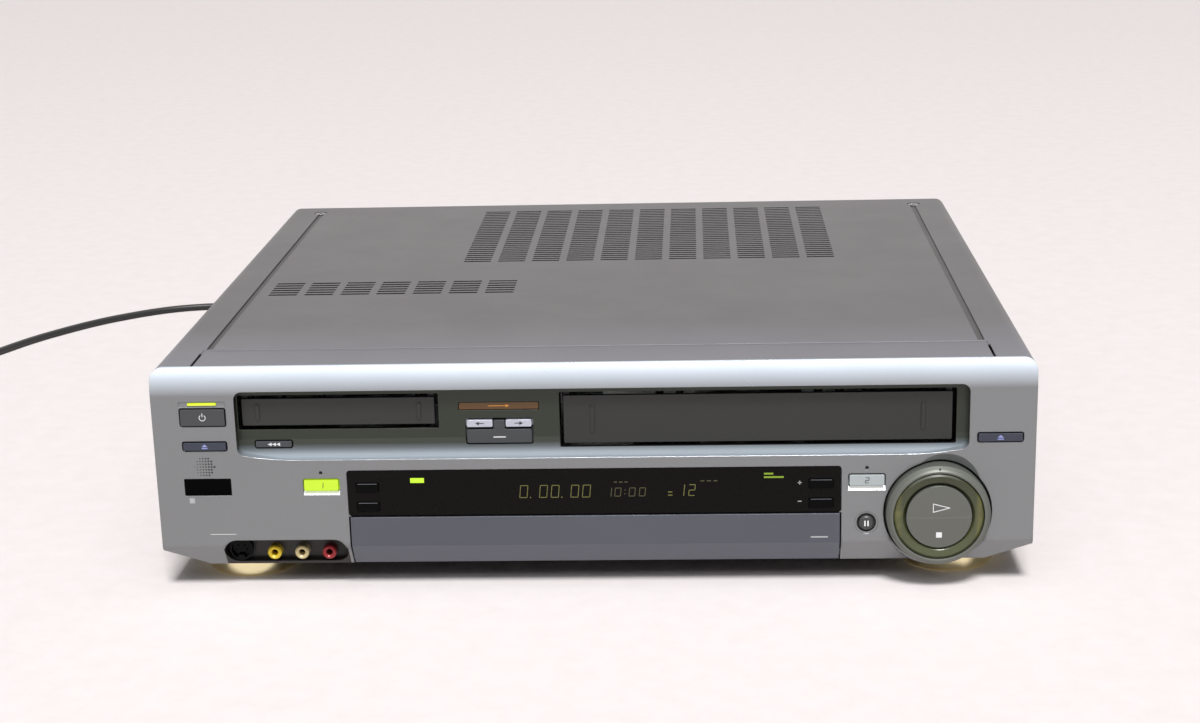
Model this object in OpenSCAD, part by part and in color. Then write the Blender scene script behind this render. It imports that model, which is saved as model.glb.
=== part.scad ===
// Double-deck video cassette recorder: one bay for full-size cassettes, one for small ones.
// X runs to the right, Y from the front to the rear, Z up. The table is z = 0.
// Depths named with front() are counted from the front face.

/* [Case] */
// Width of the case
body_w = 430; // [428:1:450]
// Height of the case above its feet
case_h = 104; // [104:1:116]
// Depth from the front face to the cover's rear edge
case_d = 384; // [380:1:420]
// Height of the feet
foot_h = 12; // [10:0.5:20]
// Radius of a front foot at the table
foot_r = 23.5; // [20:0.5:26]
// Distance of a front foot's axis from the centre line
foot_x = 178; // [165:1:182]
// Distance of a front foot's axis from the front face
foot_y = 43; // [40:1:80]
// Radius of a rear foot
rear_foot_r = 13; // [8:0.5:18]
// Thickness of the steel sheet
sheet = 1; // [0.8:0.1:1.4]
// Radius of the upper corners
corner_r = 6; // [4:0.5:8]

/* [Front moulding] */
// Wall thickness of the front moulding
wall = 2.5; // [2.2:0.1:2.8]
// Depth of the front moulding's rims
rim_d = 16; // [15.5:0.5:18]
// Height of the bright curved band along the top
band_h = 13.3; // [12.5:0.1:14]
// Lean of the band's upper edge back from the front face
band_back = 3.1; // [2:0.1:4]
// Radius of the band's curve
band_r = 40; // [30:1:80]
// Height of the slanted chin along the bottom
chin_h = 11.8; // [10:0.1:13]
// Setback of the chin's lower edge
chin_back = 8; // [6:0.5:9]
// Width of the cut at each lower corner
corner_cut_w = 22; // [15:1:26]
// Height of the cut at each lower corner
corner_cut_h = 10; // [6:0.5:12]
// Depth of the cover's front edge behind the front face
cover_y = 5.8; // [5:0.1:8]

/* [Pocket and doors] */
// Depth of the long pocket around the cassette doors
pocket_d = 6; // [5:0.5:7]
// Width of the pocket
pocket_w = 357; // [350:1:358]
// Centre of the pocket from the case's centre line
pocket_x = 4.5; // [4:0.5:7]
// Height of the pocket
pocket_h = 35.1; // [34:0.1:36]
// Distance of the pocket's upper edge below the case's top
pocket_top = 11.9; // [11.5:0.1:13]
// Radius of the scooped lip under the doors
lip_r = 4.2; // [3:0.1:4.6]
// Rise of the lip at the pocket's ends
lip_rise = 3; // [1:0.5:4]
// Length over which the lip rises
lip_rise_w = 30; // [20:1:40]
// Distance of the door openings' upper edge below the case's top
door_top = 15.3; // [15:0.1:15.8]
// Width of the large door's opening
large_open_w = 192.6; // [191:0.2:194]
// Height of the large door's opening
large_open_h = 28.2; // [27.8:0.1:28.4]
// Centre of the large bay from the case's centre line
large_x = 81; // [79:0.5:82]
// Width of the small door's opening
small_open_w = 99; // [98:0.1:99.6]
// Height of the small door's opening
small_open_h = 17.6; // [17:0.1:18]
// Centre of the small bay from the case's centre line
small_x = -124.1; // [-124.3:0.1:-123]
// Thickness of a door panel
door_t = 2; // [1.6:0.1:2.2]
// Gap round a door panel
door_gap = 2; // [1.5:0.1:2.2]
// Radius of a door's hinge pin
pin_r = 1; // [0.8:0.1:1.2]
// Height of a hinge pin above the door opening
hinge_up = 3.1; // [2.8:0.1:3.3]

/* [Keys] */
// Gap between a key and its opening
key_gap = 0.7; // [0.5:0.05:0.8]
// Travel of a key
key_travel = 1; // [0.6:0.1:1.2]
// How far a key stands out of the surface round it
key_proud = 0.6; // [0.4:0.1:1]
// Width of the flange that holds a key behind its opening
flange_w = 1.3; // [1:0.1:1.3]
// Width of the power key
power_w = 23.2; // [20:0.2:23.4]
// Height of the power key
power_h = 9.7; // [8:0.1:9.7]
// Width of an eject key
eject_w = 22.5; // [18:0.5:23]
// Height of an eject key
eject_h = 5.3; // [4.5:0.1:6]
// Width of a deck select key
deck_key_w = 18.2; // [15:0.2:18.4]
// Height of a deck select key
deck_key_h = 6.8; // [5.5:0.1:7]
// Width of the rewind key
rewind_w = 19.2; // [15:0.2:20]
// Height of the rewind key
rewind_h = 4.4; // [4.2:0.1:5]
// Width of the opening for the dubbing keys
dub_w = 33.3; // [32:0.1:35]
// Height of the opening for the dubbing keys
dub_h = 13.4; // [12.6:0.1:14]
// Radius of the pause key
pause_r = 3.9; // [3:0.1:4.2]

/* [Display and flap] */
// Width of the display window and of the flap under it
panel_w = 242.5; // [236:0.1:243]
// Centre of the window from the case's centre line
panel_x = 0.5; // [0:0.1:1]
// Height of the display window
window_h = 24; // [23:0.1:24.5]
// Height of the flap
flap_h = 27.4; // [26:0.1:27.8]
// Thickness of the flap
flap_t = 2.2; // [1.8:0.1:2.4]
// Radius of the barrel along the flap's lower edge
flap_barrel_r = 1.8; // [1.6:0.1:1.9]
// Radius of the flap's hinge pins
flap_pin_r = 1.2; // [1:0.1:1.3]

/* [Jog dial] */
// Distance of the dial's axis from the display window
dial_gap = 46.65; // [46:0.1:48]
// Height of the dial's axis above the case's bottom
dial_up = 27.2; // [27.2:0.1:28.5]
// Radius of the well round the dial
well_r = 26.4; // [26:0.1:26.6]
// Radius of the shuttle ring
shuttle_r = 25.2; // [24.6:0.1:25.8]
// Radius of the light ring
light_r = 21.7; // [21:0.1:22.4]
// Radius of the play and stop cap
cap_r = 15.8; // [14:0.1:16.4]
// How far the cap stands out of the front face
dial_proud = 8; // [7:0.5:12]
// Depth of the well's floor
well_d = 9; // [8.5:0.1:9.5]
// Radius of the post that carries the rings
post_r = 12; // [11:0.1:12.5]

/* [Front sockets] */
// Width of the recess for the front sockets
socket_w = 62; // [60:0.5:64]
// Height of the recess for the front sockets
socket_h = 13.7; // [13:0.1:13.8]
// Wall between the recess and the flap
socket_gap = 1.65; // [1.4:0.05:3]
// Radius of a phono socket's collar
phono_r = 3.5; // [3.4:0.1:4.2]
// Radius of a phono socket's hole
phono_bore_r = 1.6; // [1.5:0.05:1.8]

/* [Cassettes and decks] */
// Width of a full-size cassette
large_tape_w = 188; // [187:0.5:188.5]
// Depth of a full-size cassette
large_tape_d = 104; // [100:0.5:106]
// Thickness of a full-size cassette
large_tape_h = 25; // [24.5:0.1:25.2]
// Radius of the large head drum
large_drum_r = 31; // [28:0.5:32]
// Width of a small cassette
small_tape_w = 95; // [94:0.5:95.5]
// Depth of a small cassette
small_tape_d = 62.5; // [60:0.5:64]
// Thickness of a small cassette
small_tape_h = 15; // [14.5:0.1:15]
// Radius of the small head drum
small_drum_r = 20; // [18:0.5:21]
// Depth of both cassette cradles behind the front face
cradle_y = 42.5; // [42.5:0.5:46]
// Lean of the head drums
drum_lean = 5.9; // [4:0.1:7]

/* [Vents] */
// Length of a vent slot
slot_w = 15.8; // [14:0.1:17]
// Width of a vent slot
slot_h = 2.6; // [2:0.1:3.2]
// Distance between columns of slots
slot_pitch_x = 20.05; // [19:0.05:21]
// Distance between rows of slots
slot_pitch_y = 5.2; // [4.4:0.05:5.3]

/* [Rear] */
// How far the rear sockets reach past the cover
jack_proud = 6; // [5:0.5:10]

/* [Mains cord] */
// Width of the cord
cord_d = 5; // [4.6:0.1:5.4]
// Turns of the coil in each of its two layers
coil_turns = 3.35; // [3:0.05:4]
// Radius of the coil's innermost turn
coil_in_r = 20.5; // [20:0.5:24]

/* [Hidden] */
$fn = 48;
eps = 0.01;
slack = 0.3;
bore_slack = 0.05;

depth_all = dial_proud + case_d + jack_proud;
face_y = dial_proud - depth_all / 2;
rear_y = face_y + case_d;
top_z = foot_h + case_h;
side_x = body_w / 2;

flange_t = 1.2;
board_d = 24;
board_t = 1.6;
switch_t = 1.6;
key_r = 0.5;

left_x = -side_x + 25.2;
right_x = side_x - 17.1;
power_z = top_z - 24.5;
lamp_w = 14;
lamp_h = 1;
lamp_band = 2.6;
lamp_z = top_z - 17.8;
eject_left_z = top_z - 39.4;
eject_right_z = top_z - 38.8;
remote_w = 23.4;
remote_h = 8.9;
remote_z = top_z - 60.6;

deck_key_z = foot_h + 44;
deck_left_x = panel_x - panel_w / 2 - 12.65;
deck_right_x = panel_x + panel_w / 2 + 12.2;
pause_x = panel_x + panel_w / 2 + 12.15;
pause_z = foot_h + 21.9;

pocket_bottom_z = top_z - pocket_top - pocket_h;
door_top_z = top_z - door_top;
large_floor_z = door_top_z - large_open_h;
small_floor_z = door_top_z - small_open_h;
hinge_z = door_top_z + hinge_up;
arm_r = pin_r + 1;
hinge_d = pocket_d + wall + slack + arm_r;
door_d = pocket_d + 0.4;

rewind_x = small_x - 32.7;
rewind_z = small_floor_z - 7.5;
dub_x = (small_x + small_open_w / 2 + large_x - large_open_w / 2) / 2;
dub_z = top_z - 34.9;
arrow_w = 12.6;
arrow_h = 3.6;
dub_margin = 0.8;
amber_w = 39.5;
amber_h = 4.1;
amber_z = top_z - 22.05;

window_z = foot_h + flap_h;
window_t = 2;
window_d = 0.4;
window_lip = 1.5;
flap_top_z = window_z;
flap_hinge_d = 9.5;
flap_hinge_z = foot_h + 3.8;
flap_side = 0.8;
flap_top = 0.6;
recess_d = rim_d - 2.2;
recess_wall = 2.2;
display_key_h = 5.1;
menu_key_w = 11.6;
menu_x = panel_x - panel_w / 2 + 10;
channel_key_w = 12.4;
channel_x = panel_x + panel_w / 2 - 9.9;
upper_key_z = window_z + 14.9;
lower_key_z = window_z + 5;
flap_key_w = 12;
flap_key_h = 4.5;
flap_key_pitch = 24;
flap_key_z = foot_h + 17;

dial_x = panel_x + panel_w / 2 + dial_gap;
dial_z = foot_h + dial_up;
bulge_r = dial_up;
bulge_flare = 3.4;
dish_x = 3.4;
dish_z = 12.7;
dish_r = 17.3;
rocker_d = 6 - dial_proud;
ear_in = 5.8;

socket_x = panel_x - panel_w / 2 - socket_gap - socket_w / 2;
socket_z = foot_h + 8.45;
phono_z = foot_h + 6.4;
plate_d = 11;
plate_t = 1.6;
phono_pitch = 13.8;
round_x = socket_x - 1.75 * phono_pitch;
round_z = socket_z - 0.6;
round_r = 6;

// What each key is: centre x, centre z, width, height, depth of the surface round it
KEYS = [
  [left_x, power_z, power_w, power_h, 0],
  [left_x, eject_left_z, eject_w, eject_h, 0],
  [right_x, eject_right_z, eject_w, eject_h, 0],
  [deck_left_x, deck_key_z, deck_key_w, deck_key_h, 0],
  [deck_right_x, deck_key_z, deck_key_w, deck_key_h, 0],
  [rewind_x, rewind_z, rewind_w, rewind_h, pocket_d],
];

// ---- helpers -----------------------------------------------------------------

// Extrudes an XZ outline from depth a to depth b behind the front face
module front(a, b) {
  translate([0, face_y + b, 0])
    rotate([90, 0, 0])
      linear_extrude(b - a)
        children();
}

// Extrudes a YZ outline, its Y counted from the front face, from x = a to x = b
module across(a, b) {
  translate([a, face_y, 0])
    rotate([90, 0, 90])
      linear_extrude(b - a)
        children();
}

module rounded(w, h, r) {
  square([w - 2 * r, h], center = true);
  square([w, h - 2 * r], center = true);
  for (sx = [-1, 1], sy = [-1, 1])
    translate([sx * (w / 2 - r), sy * (h / 2 - r)])
      circle(r = r);
}

module at(x, z) {
  translate([x, z])
    children();
}

// A block given by its lowest corner and its highest one, Y counted from the front face
module block(low, high) {
  translate([low[0], face_y + low[1], low[2]])
    cube([high[0] - low[0], high[1] - low[1], high[2] - low[2]]);
}

// An upright round post, Y counted from the front face
module post(x, y, z0, z1, r) {
  translate([x, face_y + y, z0])
    cylinder(h = z1 - z0, r = r);
}

// A round rod along X, Y counted from the front face
module rod(x0, x1, y, z, r) {
  translate([x0, face_y + y, z])
    rotate([0, 90, 0])
      cylinder(h = x1 - x0, r = r);
}

// Revolves a profile about an axis along Y: its x is the radius, its y the depth
module turned(x, z) {
  translate([x, face_y, z])
    rotate([-90, 0, 0])
      rotate_extrude($fn = 96)
        children();
}

// A key's cap, the flange that holds it behind the wall, and its stem
module key_at(x, z, w, h, d) {
  back = d + wall + slack;
  front(d - key_proud, back + flange_t)
    at(x, z)
      rounded(w - 2 * key_gap, h - 2 * key_gap, key_r);
  front(back, back + flange_t)
    difference() {
      at(x, z)
        rounded(w + 2 * flange_w, h + 2 * flange_w, key_r);
      if (d == 0)
        key_limits();
    }
  front(back, board_d - switch_t - key_travel - slack)
    at(x, z)
      circle(r = 1.5);
}

// Where the flange of a key in the front face must not reach: the pocket and the dial's housing
module key_limits() {
  at(pocket_x, pocket_bottom_z + pocket_h / 2)
    square([pocket_w + 2 * wall + 2 * slack, pocket_h + 2 * wall + 2 * slack], center = true);
  at(dial_x, dial_z)
    circle(r = bulge_r + 2, $fn = 96);
}

module listed_key(i) {
  k = KEYS[i];
  key_at(k[0], k[1], k[2], k[3], k[4]);
}

// ---- case --------------------------------------------------------------------

// Outline of the case seen from the front, drawn in by inset
module case_outline(inset = 0) {
  w = side_x - inset;
  low = foot_h + inset;
  high = top_z - inset;
  r = corner_r - inset;
  polygon([
    [-w, low + corner_cut_h],
    [-w + corner_cut_w, low],
    [w - corner_cut_w, low],
    [w, low + corner_cut_h],
    [w, high - r],
    [w - r, high],
    [-w + r, high],
    [-w, high - r],
  ]);
  for (s = [-1, 1])
    translate([s * (w - r), high - r])
      circle(r = r, $fn = 64);
}

// Side view of the front moulding: slanted chin, upright face, curved band
module front_profile() {
  band_z = top_z - band_h;
  chord = norm([band_back, band_h]);
  lean = atan2(band_back, band_h);
  reach = sqrt(band_r * band_r - chord * chord / 4);
  centre_y = band_back / 2 + reach * cos(lean);
  centre_z = band_z + band_h / 2 - reach * sin(lean);
  polygon([
    [chin_back, foot_h],
    [0, foot_h + chin_h],
    [0, band_z],
    [band_back, top_z],
    [rim_d, top_z],
    [rim_d, foot_h],
  ]);
  intersection() {
    translate([0, band_z])
      square([rim_d, band_h]);
    translate([centre_y, centre_z])
      circle(r = band_r, $fn = 256);
  }
}

module front_solid(inset_y = 0, inset = 0) {
  intersection() {
    translate([0, inset_y, 0])
      across(-side_x, side_x)
        front_profile();
    front(-1, rim_d + (inset > 0 ? 1 : 0))
      case_outline(inset);
    block([-side_x, -1, foot_h], [side_x, 2 * rim_d, top_z + 1]);
  }
}

// Front view of the pocket: straight lip that rises near both ends
module pocket_outline(grow = 0) {
  end_r = 4;
  end_rise = lip_rise * pow((lip_rise_w - end_r) / lip_rise_w, 2);
  intersection() {
    pocket_lip(grow);
    union() {
      at(pocket_x, pocket_bottom_z + pocket_h / 2)
        square([pocket_w - 2 * end_r, pocket_h + 2 * grow + 2], center = true);
      at(pocket_x, pocket_bottom_z + (pocket_h + end_rise) / 2)
        rounded(pocket_w + 2 * grow, pocket_h + 2 * grow - end_rise, end_r + grow);
    }
  }
}

module pocket_lip(grow = 0) {
  mid_z = pocket_bottom_z + pocket_h / 2;
  lip_curve = (lip_rise_w * lip_rise_w + lip_rise * lip_rise) / (2 * lip_rise);
  difference() {
    at(pocket_x, mid_z)
      rounded(pocket_w + 2 * grow, pocket_h + 2 * grow, 4 + grow);
    for (s = [-1, 1])
      translate([pocket_x + s * (pocket_w / 2 - lip_rise_w / 2), pocket_bottom_z - grow])
        difference() {
          square([lip_rise_w + 2 * grow + 2, 2 * lip_rise], center = true);
          translate([-s * lip_rise_w / 2, lip_curve])
            circle(r = lip_curve, $fn = 256);
        }
  }
}

// Side view of the pocket's hollow, with its scooped lip
module pocket_scoop() {
  centre_z = pocket_bottom_z + lip_r;
  translate([-1, centre_z])
    square([pocket_d + 1, pocket_h]);
  translate([-1, pocket_bottom_z])
    square([pocket_d - lip_r + 1, lip_r + 1]);
  translate([pocket_d - lip_r, centre_z])
    circle(r = lip_r, $fn = 64);
}

module pocket_hollow() {
  intersection() {
    front(-1, pocket_d)
      pocket_outline();
    across(-side_x, side_x)
      pocket_scoop();
  }
}

module stadium(w, h) {
  square([w - h, h], center = true);
  for (s = [-1, 1])
    translate([s * (w - h) / 2, 0])
      circle(r = h / 2);
}

// Ears behind the pocket that carry a door's pins
module door_ears(x, w) {
  for (s = [-1, 1]) {
    a = x + s * (w / 2 + slack) + (s < 0 ? -recess_wall : 0);
    across(a, a + recess_wall)
      difference() {
        union() {
          translate([hinge_d, hinge_z])
            circle(r = arm_r + 0.6);
          translate([pocket_d + wall - 0.5, hinge_z - arm_r - 0.6])
            square([hinge_d - pocket_d - wall + 0.5, 2 * arm_r + 1.2]);
        }
        translate([hinge_d, hinge_z])
          circle(r = pin_r + bore_slack);
      }
  }
}

module dial_bulge() {
  turned(dial_x, dial_z)
    polygon([
      [0, 0],
      [bulge_r, 0],
      [bulge_r + bulge_flare, chin_back + 1],
      [bulge_r + bulge_flare, well_d + 2],
      [0, well_d + 2],
    ]);
}

module front_fascia() {
  color("#8c8e92")
    difference() {
      union() {
        difference() {
          front_solid();
          front_solid(wall, wall);
        }
        // what surrounds the pocket, the window, the flap's recess and the dial
        intersection() {
          front_solid();
          union() {
            front(0, pocket_d + wall)
              pocket_outline(wall);
            front(0, window_d + window_t + slack + 1.5)
              at(panel_x, window_z + window_h / 2)
                rounded(panel_w + 3, window_h + 3, 2);
            block([panel_x - panel_w / 2 - recess_wall, 0, foot_h],
              [panel_x + panel_w / 2 + recess_wall, rim_d, window_z + window_lip]);
            front(0, plate_d - slack)
              at(socket_x, socket_z)
                stadium(socket_w + 3, socket_h + 3);
          }
        }
        // the dial's round housing stands out of the chin
        intersection() {
          dial_bulge();
          block([0, 0, foot_h], [side_x, rim_d, top_z]);
        }
        door_ears(small_x, small_open_w);
        door_ears(large_x, large_open_w);
        // bosses that carry the control board
        for (x = [left_x, dub_x, right_x])
          front(1, board_d)
            at(x, x == dub_x ? window_z + window_h + 3 : top_z - 50)
              circle(r = 2.4);
      }
      pocket_hollow();
      // step that the cover's front edge lies in
      front(cover_y - slack, rim_d + 1)
        difference() {
          translate([-body_w, top_z - corner_r - slack])
            square([2 * body_w, 2 * corner_r]);
          case_outline(sheet + slack);
        }
      front(-1, pocket_d + wall + 1)
        at(large_x, door_top_z - large_open_h / 2)
          rounded(large_open_w, large_open_h, 0.8);
      front(-1, pocket_d + wall + 1)
        at(small_x, door_top_z - small_open_h / 2)
          rounded(small_open_w, small_open_h, 0.8);
      for (k = KEYS)
        front(-1, k[4] + wall + 1)
          at(k[0], k[1])
            rounded(k[2], k[3], key_r + key_gap);
      // pale ledges under the deck select keys
      for (x = [deck_left_x, deck_right_x])
        across(x - deck_key_w / 2, x + deck_key_w / 2)
          polygon([
            [-1, deck_key_z],
            [-1, deck_key_z - deck_key_h / 2 - 2.5],
            [0, deck_key_z - deck_key_h / 2 - 2],
            [1.5, deck_key_z - deck_key_h / 2],
            [1.5, deck_key_z],
          ]);
      for (x = [deck_left_x, deck_right_x])
        front(-1, 1.5)
          at(x, deck_key_z + 6.3)
            circle(r = 0.9);
      front(-1, wall + 1)
        at(left_x, lamp_z)
          square([lamp_w + 0.4, lamp_h + 0.4], center = true);
      front(-1, 0.5)
        at(left_x, lamp_z)
          rounded(power_w, lamp_band, 0.8);
      front(-1, wall + 1)
        at(left_x, remote_z)
          rounded(remote_w, remote_h, key_r);
      front(pocket_d - 1, pocket_d + wall + 1)
        at(dub_x, dub_z)
          rounded(dub_w, dub_h, key_gap + 0.4);
      front(pocket_d - 1, pocket_d + wall + 1)
        at(dub_x, amber_z)
          rounded(amber_w, amber_h, 0.5);
      front(-1, wall + 1)
        at(pause_x, pause_z)
          circle(r = pause_r + key_gap + 0.15);
      front(-1, 0.4)
        at(pause_x, pause_z)
          circle(r = pause_r + 1.9);
      // window: its seat, and the smaller opening behind it
      front(-1, window_d + window_t + slack)
        at(panel_x, window_z + window_h / 2)
          rounded(panel_w, window_h, 1.8);
      front(-1, rim_d)
        at(panel_x, window_z + window_h / 2)
          square([panel_w - 2 * window_lip, window_h - 2 * window_lip], center = true);
      // hollow behind the flap, open below so that the flap's edge can swing
      block([panel_x - panel_w / 2, -1, foot_h - 1],
        [panel_x + panel_w / 2, recess_d, flap_top_z + eps]);
      rod(panel_x - panel_w / 2 - recess_wall - 1, panel_x + panel_w / 2 + recess_wall + 1,
        flap_hinge_d, flap_hinge_z, flap_pin_r + bore_slack);
      for (i = [-1:1])
        front(recess_d - 1, rim_d + 1)
          at(panel_x + i * flap_key_pitch, flap_key_z)
            rounded(flap_key_w, flap_key_h, key_r);
      // dial: the well, the hole for its post, and the shallow dish at its upper right
      turned(dial_x, dial_z)
        square([well_r, well_d]);
      turned(dial_x, dial_z)
        translate([0, -1])
          square([well_r, 2]);
      turned(dial_x, dial_z)
        square([post_r + slack, well_d + 3]);
      turned(dial_x + dish_x, dial_z + dish_z)
        polygon([[0, -1], [dish_r + 0.6, -1], [dish_r, 0], [dish_r - 4, 2], [0, 2]]);
      front(-1, plate_d + 1)
        at(socket_x, socket_z)
          stadium(socket_w, socket_h);
    }
}

// One vent slot, by the distance of its middle from the centre line and the front face
module slot(x, y) {
  translate([x, face_y + y, top_z])
    cube([slot_w, slot_h, 6 * sheet], center = true);
}

// Columns and rows of slots over the heads and the power supply
rear_slots_x = -75.8;
rear_slots_y = 221;
rear_columns = 11;
rear_rows = 28;
left_slots_x = -176.6;
left_slots_y = 146;
left_columns = 7;
left_rows = 6;

groove_x = side_x - 22.5;
groove_w = 3.3;
screw_x = side_x - 21.5;
screw_y = case_d - 16;

module top_cover() {
  color("#827f7e")
    difference() {
      union() {
        front(cover_y, case_d)
          difference() {
            case_outline();
            case_outline(sheet);
            translate([-body_w, foot_h - 1])
              square([2 * body_w, 1 + corner_cut_h]);
            translate([sheet - side_x, foot_h])
              square([body_w - 2 * sheet, corner_cut_h + 10]);
          }
        // metal pressed down under the two grooves
        for (s = [-1, 1])
          block([s * groove_x - groove_w / 2 - sheet, 35, top_z - 2 * sheet],
            [s * groove_x + groove_w / 2 + sheet, case_d - 18, top_z - sheet / 2]);
        for (s = [-1, 1])
          post(s * screw_x, screw_y, top_z - 2.6, top_z - sheet / 2, 5);
      }
      // the front moulding's sides show here
      block([-body_w, -1, 0], [body_w, rim_d + slack, top_z - corner_r]);
      for (s = [-1, 1])
        block([s * groove_x - groove_w / 2, 36, top_z - 0.8],
          [s * groove_x + groove_w / 2, case_d - 19, top_z + 1]);
      for (s = [-1, 1])
        block([s * (groove_x + 2.6) - 0.6, 6.5, top_z - 3],
          [s * (groove_x + 2.6) + 0.6, 29, top_z + 1]);
      block([-groove_x - 2.6, -1, top_z - 0.3], [groove_x + 2.6, 35, top_z + 1]);
      for (s = [-1, 1]) {
        post(s * screw_x, screw_y, top_z - 1.6, top_z + 1, 4);
        post(s * screw_x, screw_y, top_z - 4, top_z + 1, 1.8);
      }
      for (i = [0:rear_columns - 1], j = [0:rear_rows - 1])
        slot(rear_slots_x + i * slot_pitch_x, rear_slots_y + slot_h / 2 + j * slot_pitch_y);
      for (i = [0:left_columns - 1], j = [0:left_rows - 1])
        slot(left_slots_x + i * slot_pitch_x, left_slots_y + slot_h / 2 + j * slot_pitch_y);
    }
}

module cover_screws() {
  color("dimgray")
    for (s = [-1, 1])
      difference() {
        union() {
          post(s * screw_x, screw_y, top_z - 1.6, top_z - 0.2, 3.5);
          post(s * screw_x, screw_y, top_z - 9, top_z - 1, 1.5);
        }
        block([s * screw_x - 2, screw_y - 0.4, top_z - 1], [s * screw_x + 2, screw_y + 0.4, top_z]);
        block([s * screw_x - 0.4, screw_y - 2, top_z - 1], [s * screw_x + 0.4, screw_y + 2, top_z]);
      }
}

tray_x = side_x - sheet - slack;
tray_y = rim_d + slack;
tray_back = case_d - 3;

// The two boards behind the decks: front and rear edge, sides, and height above the table
board_up = 8;
board_z = foot_h + board_up;
boards_back = tray_back - 9;
main_front = cradle_y + 200.5;
main_left = -104;
main_right = side_x - 15;
supply_front = cradle_y + 162.5;
supply_left = 16 - side_x;
supply_right = supply_left + 90;

// Places of the posts under the boards: x, y from the front face
TRAY_POSTS = [
  for (y = [supply_front + 7, boards_back - 7], x = [supply_left + 13, supply_right - 9]) [x, y],
  for (y = [main_front + 7, boards_back - 7], x = [main_left + 6, main_right - 14]) [x, y],
];
flat_x = side_x - corner_cut_w;
flange_z = foot_h + 18;

// Height of the case's lower outline at x
function cut_z(x) = foot_h + max(0, x - flat_x) * corner_cut_h / corner_cut_w;

module chassis_tray() {
  color("#a9abad") {
    front(tray_y, tray_back)
      polygon([
        [-tray_x, flange_z],
        [-tray_x, cut_z(tray_x)],
        [-flat_x, foot_h],
        [flat_x, foot_h],
        [tray_x, cut_z(tray_x)],
        [tray_x, flange_z],
        [tray_x - sheet, flange_z],
        [tray_x - sheet, cut_z(tray_x - sheet) + sheet],
        [flat_x, foot_h + sheet],
        [-flat_x, foot_h + sheet],
        [sheet - tray_x, cut_z(tray_x - sheet) + sheet],
        [sheet - tray_x, flange_z],
      ]);
    for (p = TRAY_POSTS)
      post(p[0], p[1], foot_h, board_z, 3);
    // embossed ribs that stiffen the floor
    for (y = [186, 230])
      block([-90, y, foot_h], [150, y + 6, foot_h + 2.2]);
  }
}

panel_back = case_d - 2;
relief_x = -170;
relief_z = foot_h + 24;
relief_r = 4.2;
jack_x = 60;
jack_z = foot_h + 46;
antenna_x = 170;

module rear_panel() {
  color("#9b9da0")
    difference() {
      union() {
        front(tray_back, panel_back) {
          case_outline(sheet + slack);
          translate([-flat_x, foot_h])
            square([2 * flat_x, 4 * sheet]);
        }
        // flange along the top that takes the cover's screws
        block([-tray_x + 8, tray_back - 20, top_z - 3.9], [tray_x - 8, panel_back, top_z - 2.9]);
      }
      front(tray_back - 1, panel_back + 1)
        at(relief_x, relief_z)
          circle(r = relief_r + 1.2);
      for (s = [-1, 1])
        post(s * screw_x, screw_y, top_z - 8, top_z, 1.8 + slack);
      // slots that let air in
      for (i = [0:9])
        block([-92 + i * 10, tray_back - 1, top_z - 30], [-87 + i * 10, panel_back + 1, top_z - 12]);
    }
}

module front_feet() {
  color("#c9a45c")
    for (s = [-1, 1])
      translate([s * foot_x, face_y + foot_y, 0])
        rotate_extrude($fn = 96)
          polygon([
            [0, 1],
            [foot_r - 6, 1],
            [foot_r - 5, 0],
            [foot_r - 1, 0],
            [foot_r, 1],
            [foot_r, foot_h - 3.5],
            [foot_r - 1, foot_h - 2.5],
            [foot_r - 4, foot_h - 2.5],
            [foot_r - 4, foot_h],
            [0, foot_h],
          ]);
}

module rear_feet() {
  color("#2a2a2a")
    for (s = [-1, 1])
      translate([s * (foot_x - 10), rear_y - 48, 0])
        rotate_extrude()
          polygon([
            [0, 0],
            [rear_foot_r - 1.5, 0],
            [rear_foot_r, 1.5],
            [rear_foot_r, foot_h - 2],
            [rear_foot_r - 2, foot_h],
            [0, foot_h],
          ]);
}

// ---- front controls ------------------------------------------------------------

module display_window() {
  color("#141412")
    difference() {
      front(window_d, window_d + window_t)
        at(panel_x, window_z + window_h / 2)
          rounded(panel_w - 2 * slack, window_h - 2 * slack, 1.6);
      for (z = [upper_key_z, lower_key_z]) {
        front(0, window_t + 2)
          at(menu_x, z)
            rounded(menu_key_w, display_key_h, 0.8);
        front(0, window_t + 2)
          at(channel_x, z)
            rounded(channel_key_w, display_key_h, 0.8);
      }
    }
}

module display_tube() {
  tube_z = window_z + window_h / 2 + 1;
  color("#2b2f2a") {
    front(5, 11)
      at(panel_x, tube_z)
        square([165, 15], center = true);
    for (x = [-70, -24, 24, 70])
      front(10, board_d)
        at(panel_x + x, tube_z)
          circle(r = 1.6);
  }
}

module display_key(x, z, w) {
  back = window_d + window_t + slack;
  front(window_d - key_proud, back + flange_t)
    at(x, z)
      rounded(w - 2 * slack, display_key_h - 2 * slack, 0.6);
  front(back, back + flange_t)
    at(x, z)
      square([w + 1.6, display_key_h + 1.6], center = true);
  front(back, board_d - switch_t - key_travel - slack)
    at(x, z)
      circle(r = 1.5);
}

module menu_key_upper() {
  color("#0e0e10")
    display_key(menu_x, upper_key_z, menu_key_w);
}

module menu_key_lower() {
  color("#0e0e10")
    display_key(menu_x, lower_key_z, menu_key_w);
}

module channel_up_key() {
  color("#0e0e10")
    display_key(channel_x, upper_key_z, channel_key_w);
}

module channel_down_key() {
  color("#0e0e10")
    display_key(channel_x, lower_key_z, channel_key_w);
}

module power_button() {
  color("#3c3e40")
    listed_key(0);
}

module eject_button_left() {
  color("#454a5e")
    listed_key(1);
}

module eject_button_right() {
  color("#454a5e")
    listed_key(2);
}

module deck_button_left() {
  color("#cdea45")
    listed_key(3);
}

module deck_button_right() {
  color("#9aa0a0")
    listed_key(4);
}

module rewind_button() {
  color("#4c5150")
    listed_key(5);
}

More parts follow.
